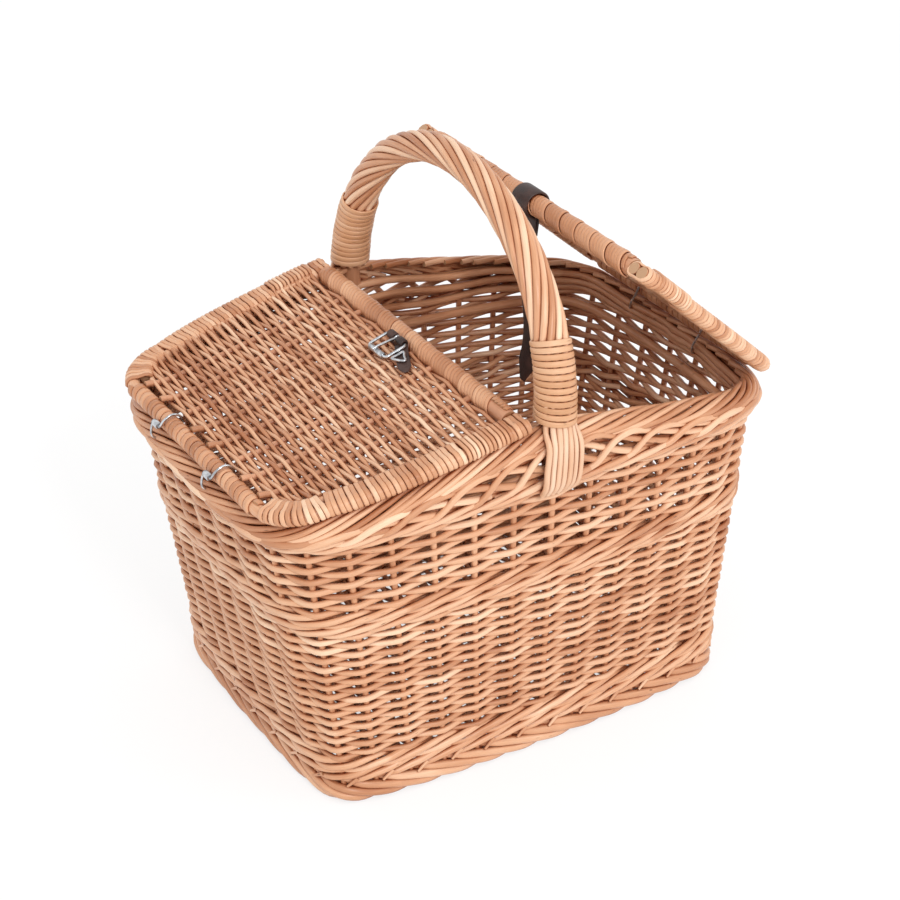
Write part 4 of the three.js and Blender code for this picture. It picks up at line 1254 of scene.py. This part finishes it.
    def panel(self, chance: np.random.Generator) -> list[Line]:
        """Lay out the weavers: over and under the sticks in turn, the last ones turned round the edge.

        Args:
            chance: source of small differences.

        Returns:
            Lines of the weavers.
        """
        made = []
        rows = int((self.weave_end - self.first_row) / self.row_pitch)
        edge = self.bow_radius + self.side_radius * 1.6
        turned_from = self.reach - self.turned_span
        for row in range(rows):
            x = mix(self.first_row, self.weave_end, (row + 0.5) / rows)
            if x < self.corner:
                r = self.corner - edge
                bend = math.sqrt(max(r * r - (self.corner - x) ** 2, 0))
                half = float(self.side(self.corner)) - self.corner + bend
            else:
                half = float(self.side(x)) - edge
            y = np.linspace(-half, half, 57)
            phase = y / self.stick_pitch + 0.5 + row
            z = 0.8 + 1.4 * np.clip((np.abs(y) - half + 12) / 12, 0, 1)
            points = xyz(x + 0.5 * np.sin(y / 37 + row * 0.05) + 0.25 * np.sin(y / 11 + row * 1.7), y, z)
            if x > turned_from:
                turn = self.edge_turn(x, half)
                points = np.vstack([(turn * (1, -1, 1))[::-1], points, turn])
                phase = np.pad(phase, len(turn), constant_values=0.5)
            size = self.weaver_radius * chance.uniform(0.9, 1.08)
            tint = draw_tint(chance, 0.5, 0.2, 0, 1)
            parts = [slice(None)]
            if x > self.leather_x - 2.4:
                parts = [points[:, 1] < -13, points[:, 1] > 13]
            made += [Line(points[part], size, tint, False, phase[part], (0, 0, 1)) for part in parts]
        return made

    def edge_turn(self, x: float, half: float) -> Array:
        """Follow a weaver from the panel's edge over both rods and round under them.

        Args:
            x: place of the weaver, measured from the hinge.
            half: half the panel's width there.

        Returns:
            Points on the lid's own left side.
        """
        bow = float(self.side(x))
        side = bow - self.bow_radius - self.side_radius - 0.3
        inner, outer = self.side_radius + self.weaver_radius, self.bow_radius + self.weaver_radius
        keys = [(x, half + 1.5, 3.6), (x, side - 0.4, inner), (x, bow - 2, outer)]
        for degrees, shrink in ((62, 0), (35, 0), (8, 0.2), (-18, 0.9), (-45, 2.2)):
            a = math.radians(degrees)
            keys.append((x, bow + math.cos(a) * (outer - shrink), math.sin(a) * (outer - shrink)))
        return spline(keys, 16)

    def stick(self, i: int, chance: np.random.Generator) -> Line:
        """Lay out one stick of the panel; beside a hinge's wire it starts further in.

        Args:
            i: its number, counted from the lid's own right.
            chance: source of small differences.

        Returns:
            Its line.
        """
        y = (i - (self.sticks - 1) / 2) * self.stick_pitch
        start = [(13.5, 1.9)] if abs(abs(y) - HINGE_SPREAD) < 10 else [(5.2, 4.9), (8.6, 4.2), (14, 1.6)]
        keys = [(x, y, z) for x, z in start + [(24, 0.4), (80, 0.4), (self.reach - self.bar_radius, 0.4)]]
        return Line(spline(keys, 40), self.stick_radius, chance.uniform(0.2, 0.6))

    def build(self, maker: Maker) -> None:
        """Build every piece of the lid.

        Args:
            maker: turns lines into pieces.
        """
        chance = np.random.default_rng(self.seed)
        far = self.reach + self.overhang
        bow = np.vstack([self.outline(0, -1, far, 1), self.outline(0, 1, far, 1)[::-1]])
        inset = self.bow_radius + self.side_radius + 0.3
        rods = [Line(self.outline(inset, s, far, 0.72), self.side_radius, 0.6) for s in (-1, 1)]
        half = float(self.side(self.reach)) - self.bow_radius - self.side_radius * 2 - 0.9
        bar = Line(xyz(self.reach, np.linspace(-half, half, 12)), self.bar_radius, 0.4)
        flat = {"section": Section.FLAT}
        for name, nodes, lines, finish, more in (
                ("bow_rod", ["bow"], [Line(bow, self.bow_radius, 0.5)], Finish.BUFF,
                 {"sides": 16, "wander": 0.8, "seed": 1}),
                ("side_rods", ["side_rod_front", "side_rod_back"], rods, Finish.BUFF,
                 {"sides": 14, "wander": 0.8, "seed": 2}),
                ("edge_wraps", [], self.edge_wraps(chance), Finish.BUFF,
                 {**flat, "width": 3.5, "thickness": 1.9, "slot": "willow_skein"}),
                ("weave", ["panel"], self.panel(chance), Finish.BUFF,
                 {"sides": 7, "swing": 2.3, "wander": 0.8, "seed": 4}),
                ("sticks", [], [self.stick(i, chance) for i in range(self.sticks)], Finish.DARK,
                 {"wander": 0.4, "seed": 5}),
                ("bar", ["centre_bar"], [bar], Finish.DARK, {"sides": 20}),
                ("centre_skein", ["centre_binding"],
                 self.winding(self.reach, self.bar_radius + 0.45, half - 4, 18.5, 5, 0.5, 0.9), Finish.SHAVED,
                 {**flat, "width": 3.35, "thickness": 1.25}),
                ("hinge_skein", ["hinge_binding"],
                 self.winding(0.0, self.bow_radius + 0.7, 93.5, 6.7, 1, 0.0, 0.0), Finish.SHAVED,
                 {**flat, "width": 5.8, "thickness": 2.3})):
            maker.make(Bundle(f"{self.name}_{name}", lines, finish, [f"{self.name}_{node}" for node in nodes],
                              self.name, place=self.place, **more))

    def winding(self, at: float, radius: float, half: float, pitch: float, strands: int, lap: float,
                turn_gap: float) -> list[Line]:
        """Wind strands side by side along the lid's width, each turn of them lapped over the last.

        Args:
            at: place of the rod that is wound, measured from the hinge.
            radius: distance of the strands' middle from the rod's axis.
            half: half the wound length.
            pitch: advance of one turn.
            strands: strands that lie side by side in a turn.
            lap: how much the last strand of a turn stands above the first.
            turn_gap: dark gap left open at the end of each turn.

        Returns:
            One line for each strand.
        """
        made = []
        for strand in range(strands):
            share = strand / max(strands - 1, 1)
            turns = 2 * half / pitch - strand / strands
            t = np.linspace(0, turns, int(turns * 20))
            angle = t * 2 * math.pi
            out = xyz(np.sin(angle), 0.0, np.cos(angle))
            reach = radius + lap * share ** 2 + 0.12 * np.sin(t * 1.9 + strand)
            place = -half + t * pitch + strand * (pitch - turn_gap) / strands + 0.35 * np.sin(t * 0.9)
            points = out * reach[:, None] + xyz(at, place)
            made.append(Line(points, 1.0, 0.45 + 0.2 * np.sin(t * 1.3) + 0.12 * share, out=out))
        return made


# Wire and leather


def tube(x: float, z: float, middle: float, half: float, radius: float, end: float) -> Line:
    """Lay out a short tube along Y with rounded ends.

    Args:
        x: place of its axis.
        z: height of its axis.
        middle: its middle along Y.
        half: half its length.
        radius: its radius.
        end: share of the radius that is left at the ends.

    Returns:
        Its line.
    """
    return Line(xyz(x, middle + np.array([-half, 0.5 - half, half - 0.5, half]), z),
                radius * np.array([end, 1, 1, end]))


@dataclass
class Hinges:
    """Four wire hinges: each a loop round the lid's end and down through the border, and its sleeve."""

    wire_radius: float = 0.9
    sleeve_radius: float = 2.55
    sleeve_length: float = 7.4
    sleeve_x: float = 205.25
    sleeve_z: float = 241.4
    loop: tuple[tuple[float, float, float], ...] = (
        (205.2, -4.5, 241.4), (205.2, 4.5, 241.4), (206.5, 7, 230), (201, 7, 224), (191, 7, 217.5),
        (187, 3, 226),
        (187.5, -3, 237), (190, -5.5, 245.7), (196, -6.1, 248.6), (202.2, -6.1, 245.9))

    def build(self, maker: Maker) -> None:
        """Build the wires and their sleeves.

        Args:
            maker: turns lines into pieces.
        """
        for end, end_name in ((-1, "left"), (1, "right")):
            for side, side_name in ((-1, "front"), (1, "back")):
                middle = side * HINGE_SPREAD
                keys = [(end * x, middle + y, z) for x, y, z in self.loop]
                wire = Line(spline(keys, 120, True), self.wire_radius, closed=True)
                sleeve = tube(end * self.sleeve_x, self.sleeve_z, middle, self.sleeve_length / 2,
                              self.sleeve_radius,
                              0.82)
                for kind, suffix, line, sides in (("wire", "loop", wire, 10), ("sleeve", "tube", sleeve, 20)):
                    name = f"{end_name}_hinge_{kind}_{side_name}"
                    maker.make(Bundle(f"{name}_{suffix}", [line], Finish.STEEL, [name], sides=sides))


@dataclass
class Buckle:
    """Roller buckle of the left lid: folded leather, wire frame, roller, tongue and keeper."""

    place: Matrix
    pin_x: float = 161.58
    pin_z: float = 9.0
    roller_x: float = 144.58
    roller_z: float = 6.95
    wire_radius: float = 1.1
    half_width: float = 12
    corner: float = 2.6
    roller_radius: float = 2.3
    roller_half: float = 9.2
    tongue_radius: float = 0.9
    tongue_z: float = 10.45
    tongue_tip: float = 141.6
    eye_radius: float = 2.05
    leather_thickness: float = 1.9
    fold_radius: float = 2.3
    ply_half_gap: float = 1.05
    leather_foot: float = -10
    keeper_z: float = 7.3
    flap_z: float = 5.6

    def frame_points(self) -> Array:
        """Follow the frame's wire once round, with rounded corners."""
        points = []
        for cx, cy, start in ((1, 1, 0), (0, 1, 90), (0, -1, 180), (1, -1, 270)):
            x = mix(self.roller_x, self.pin_x, cx) + (-1 if cx else 1) * self.corner
            y = cy * (self.half_width - self.corner)
            for degrees in range(0, 91, 15):
                a = math.radians(start + degrees)
                px = x + math.cos(a) * self.corner
                share = (px - self.roller_x) / (self.pin_x - self.roller_x)
                points.append((px, y + math.sin(a) * self.corner, mix(self.roller_z, self.pin_z, share)))
        even = np.array([*points, points[0]])
        run = run_of(even)
        return read_line(even, run, np.linspace(0, run[-1], 97)[:-1])

    def fold(self, y: float, top: bool) -> list[Line]:
        """Lay out one strip of the leather.

        Args:
            y: place of its middle across the lid.
            top: whether it goes round the pin; without, its two plies end below the pin.

        Returns:
            The strip's lines.
        """
        low = np.linspace(self.leather_foot, self.pin_z - 2.4, 8)
        legs = [(xyz(self.pin_x + side * self.ply_half_gap, y, low), np.tile((side, 0.0, 0.0), (8, 1)))
                for side in (-1, 1)]
        if not top:
            return [Line(points, 1.0, out=out) for points, out in legs]
        a = np.radians(np.linspace(-55, 235, 19))
        round_out = xyz(np.cos(a), 0.0, np.sin(a))
        over = round_out * self.fold_radius + (self.pin_x, y, self.pin_z)
        points = np.vstack([legs[1][0], over, legs[0][0][::-1]])
        return [Line(points, 1.0, out=np.vstack([legs[1][1], round_out, legs[0][1][::-1]]))]

    def flap(self) -> Line:
        """Lay out the leather's loose end, which lies on the weave and runs out to a point."""
        keys = [(160.2, -7.5, 7.4), (158, -11, 6.6), (155, -17, self.flap_z), (151, -26, self.flap_z),
                (147, -36, self.flap_z)]
        return Line(spline(keys, 25), np.interp(np.linspace(0, 1, 25), [0, 0.8, 1], [1, 1, 0.3]),
                    out=(0, 0, 1))

    def tongue(self) -> list[Line]:
        """Lay out the tongue: an eye round the pin, and an arm that ends on the roller.

        Returns:
            Lines of the eye and the arm.
        """
        a = np.linspace(0, 2 * math.pi, 21)[:-1]
        eye = xyz(self.pin_x + np.cos(a) * self.eye_radius, 0.0, self.pin_z + np.sin(a) * self.eye_radius)
        arm = spline([(self.pin_x - 1.6, 0, self.pin_z + 1.1), (self.pin_x - 5, 0, self.tongue_z - 0.1),
                      (self.pin_x - 10, 0, self.tongue_z), (self.tongue_tip + 3, 0, self.tongue_z),
                      (self.tongue_tip, 0, self.tongue_z - 0.4)], 24)
        thin = np.interp(np.linspace(0, 1, 24), [0, 0.8, 1], [1, 1, 0.72]) * self.tongue_radius
        return [Line(eye, self.tongue_radius * 0.85, closed=True), Line(arm, thin)]

    def build(self, maker: Maker) -> None:
        """Build the buckle on its lid.

        Args:
            maker: turns lines into pieces.
        """
        strips = self.fold(-6.2, True) + self.fold(6.2, True) + self.fold(0.0, False)
        frame_line = Line(self.frame_points(), self.wire_radius, closed=True)
        roller = tube(self.roller_x, self.roller_z, 0.0, self.roller_half, self.roller_radius, 0.8)
        corners = [(157.2, -15.0), (152.4, -15.6), (147.2, -16.4), (148.6, -20.2), (152.6, -25.3),
                   (155.0, -20.4)]
        ring = spline([(x, y, self.keeper_z) for x, y in corners], 60, True)
        keeper = Line(ring, self.wire_radius * 0.9, closed=True)
        flat = {"section": Section.FLAT}
        for name, nodes, lines, finish, body, more in (
                ("strap_fold", ["buckle_leather"], strips, Finish.LEATHER, "left_lid",
                 {**flat, "width": 7.8, "thickness": self.leather_thickness}),
                ("strap_end", [], [self.flap()], Finish.LEATHER, "left_lid",
                 {**flat, "width": 9.5, "thickness": 1.2}),
                ("wire", ["buckle_frame"], [frame_line], Finish.STEEL, "buckle_frame", {"sides": 12}),
                ("tube", ["buckle_roller"], [roller], Finish.STEEL, "buckle_roller", {"sides": 24}),
                ("prong", ["buckle_tongue"], self.tongue(), Finish.STEEL, "buckle_tongue", {"sides": 12}),
                ("loop", ["buckle_keeper"], [keeper], Finish.STEEL, "left_lid", {"sides": 10})):
            maker.make(Bundle(f"buckle_{name}", lines, finish, nodes, body, place=self.place, **more))


@dataclass
class Strap:
    """The long leather strap, sewn round the right lid's centre bar and hanging with a lazy bend."""

    axis_x: float = 69.25
    axis_z: float = 356.23
    fold_radius: float = 9.25
    length: float = 140
    lap: float = 16
    width: float = 20
    thickness: float = 1.9
    ply_half_gap: float = 1.0
    bend: tuple[float, ...] = (0, -3, -1.5, 2, 2, -5)

    def build(self, maker: Maker) -> None:
        """Build the strap.

        Args:
            maker: turns lines into pieces.
        """
        r = self.fold_radius
        join = math.asin(self.ply_half_gap / r)
        a = np.linspace(-math.pi / 2 + join, 1.5 * math.pi - join, 37)
        round_out = xyz(np.cos(a), 0.0, np.sin(a))
        share = np.linspace(0, 1, 40)[1:]
        steps = np.linspace(0, 1, len(self.bend))
        line = spline([(b, 0, -r - (self.length - r) * t) for b, t in zip(self.bend, steps)], 40)[1:]
        along = np.gradient(line, axis=0)
        face = xyz(along[:, 2], 0.0, -along[:, 0])
        face /= np.linalg.norm(face, axis=1)[:, None]
        lapped = share < self.lap / (self.length - r)
        lap = (line - face * self.ply_half_gap)[lapped][::-1]
        points = np.vstack([lap, round_out * r, line + face * self.ply_half_gap])
        out = np.vstack([-face[lapped][::-1], round_out, face])
        points += (self.axis_x, 0, self.axis_z)
        size = np.concatenate([np.ones(len(lap) + 37), np.interp(share, [0, 0.9, 1], [1, 1, 0.3])])
        maker.make(Bundle("strap_leather_band", [Line(points, size, out=out)], Finish.LEATHER, ["strap"],
                          "strap",
                          section=Section.FLAT, width=self.width, thickness=self.thickness))


# Studio


@dataclass
class Studio:
    """Pale floor, soft lamps and the camera at the photograph's angle."""

    azimuth: float = -30.283
    elevation: float = 30.334
    roll: float = -0.771
    distance: float = 1778.485
    focal: float = 2349.365
    across: float = 1.808
    upward: float = 153.06

    def axes(self) -> tuple[Vector, Vector, Vector]:
        """Return the view's right, up and backward directions before its roll."""
        az, el = math.radians(self.azimuth), math.radians(self.elevation)
        back = Vector((math.sin(az) * math.cos(el), -math.cos(az) * math.cos(el), math.sin(el)))
        right = Vector((math.cos(az), math.sin(az), 0))
        return right, back.cross(right), back

    def camera(self) -> None:
        """Set up the camera."""
        right, up, back = self.axes()
        target = right * self.across + up * self.upward
        eye = (target + back * self.distance) * MM
        roll = math.radians(self.roll)
        side = right * math.cos(roll) + up * math.sin(roll)
        head = up * math.cos(roll) - right * math.sin(roll)
        turn = Matrix((side, head, back)).transposed().to_4x4()
        data = bpy.data.cameras.new("camera")
        data.sensor_width = 36
        data.lens = self.focal / 900 * 36
        data.clip_end = 50
        seen = bpy.data.objects.new("camera", data)
        seen.matrix_world = Matrix.Translation(eye) @ turn
        bpy.context.scene.collection.objects.link(seen)
        bpy.context.scene.camera = seen

    def lamp(self, name: str, place: Sequence[float], size: float, power: float) -> None:
        """Add a white square lamp that faces the basket.

        Args:
            name: name of the lamp.
            place: where it stands, in metres.
            size: its side, in metres.
            power: its power in watts.
        """
        data = bpy.data.lights.new(name, "AREA")
        data.size = size
        data.energy = power
        lamp = bpy.data.objects.new(name, data)
        lamp.location = place
        lamp.rotation_euler = (Vector((0, 0, 0.2)) - Vector(place)).to_track_quat("-Z", "Y").to_euler()
        bpy.context.scene.collection.objects.link(lamp)

    def backdrop(self, node: Nodes, lit: bpy.types.NodeSocket,
                 seen: bpy.types.NodeSocket) -> bpy.types.NodeSocket:
        """Mix what lights the basket with what the camera sees, in gloss and glass too.

        Args:
            node: adds a node to the tree.
            lit: shader for all other rays.
            seen: shader for rays from the camera, and for those seen in gloss or glass.

        Returns:
            The mixed shader.
        """
        camera, gloss, glass = [node("ShaderNodeLightPath", output=f"Is {ray} Ray")
                                for ray in ("Camera", "Glossy", "Transmission")]
        return node("ShaderNodeMixShader",
                    {0: ("MAXIMUM", ("MAXIMUM", camera, gloss), glass), 1: lit, 2: seen})

    def floor(self) -> None:
        """Make the pale floor, which keeps the basket's shadow."""
        mesh = bpy.data.meshes.new("floor")
        shape = bmesh.new()
        bmesh.ops.create_grid(shape, x_segments=2, y_segments=2, size=6)
        shape.to_mesh(mesh)
        shape.free()
        floor = bpy.data.objects.new("floor", mesh)
        bpy.context.scene.collection.objects.link(floor)
        material = bpy.data.materials.new("white_paper_floor")
        node = fresh_nodes(material)
        paper = node("ShaderNodeBsdfDiffuse", {"Color": linear("#F4F4F4")})
        glow = node("ShaderNodeEmission", {"Color": (1, 1, 1, 1), "Strength": 0.75})
        faint = node("ShaderNodeBsdfDiffuse", {"Color": linear("#8C8C8C")})
        seen = node("ShaderNodeAddShader", {0: glow, 1: faint})
        node("ShaderNodeOutputMaterial", {"Surface": self.backdrop(node, paper, seen)})
        mesh.materials.append(material)

    def world(self) -> None:
        """Make the world: an even dim light, seen as white."""
        world = bpy.data.worlds.new("studio")
        bpy.context.scene.world = world
        node = fresh_nodes(world)
        dim, white = [node("ShaderNodeBackground",
                           {"Color": (1, 1, 1, 1), "Strength": power}) for power in (0.95, 1.0)]
        node("ShaderNodeOutputWorld", {"Surface": self.backdrop(node, dim, white)})

    def build(self) -> None:
        """Build floor, world, lamps and camera."""
        self.camera()
        self.floor()
        self.world()
        self.lamp("key", (-0.4, -2.3, 1.85), 0.45, 27)
        self.lamp("side", (1.5, -1.7, 1.6), 0.8, 5)
        bpy.context.scene.view_settings.view_transform = "Standard"


def main() -> None:
    """Build the basket piece by piece, then the studio."""
    logging.basicConfig(level=logging.INFO, format="%(message)s")
    maker = Maker()
    left = Lid("left_lid", 61)
    for part in (FootBorder(), Floor(), Stakes(),
                 Wale("woven_upset_wale", "willow_buff", BODY.foot_height, BODY.lower_bottom, 2.55, 3.6, 71),
                 Siding("woven_lower_siding", BODY.lower_bottom, BODY.wale_bottom, False, 28, 2.2, 3.4, 72),
                 Wale("woven_middle_wale", "willow_pale", BODY.wale_bottom, BODY.upper_bottom, 2.3, 3.7, 73),
                 Siding("woven_upper_siding", BODY.upper_bottom, BODY.border_level, True, 12, 2.3, 3.4, 74),
                 TopBorder(), Handle(), left, Lid("right_lid", 67, opening=32), Hinges(), Buckle(left.place),
                 Strap()):
        part.build(maker)
    Studio().build()


if __name__ == "__main__":
    main()
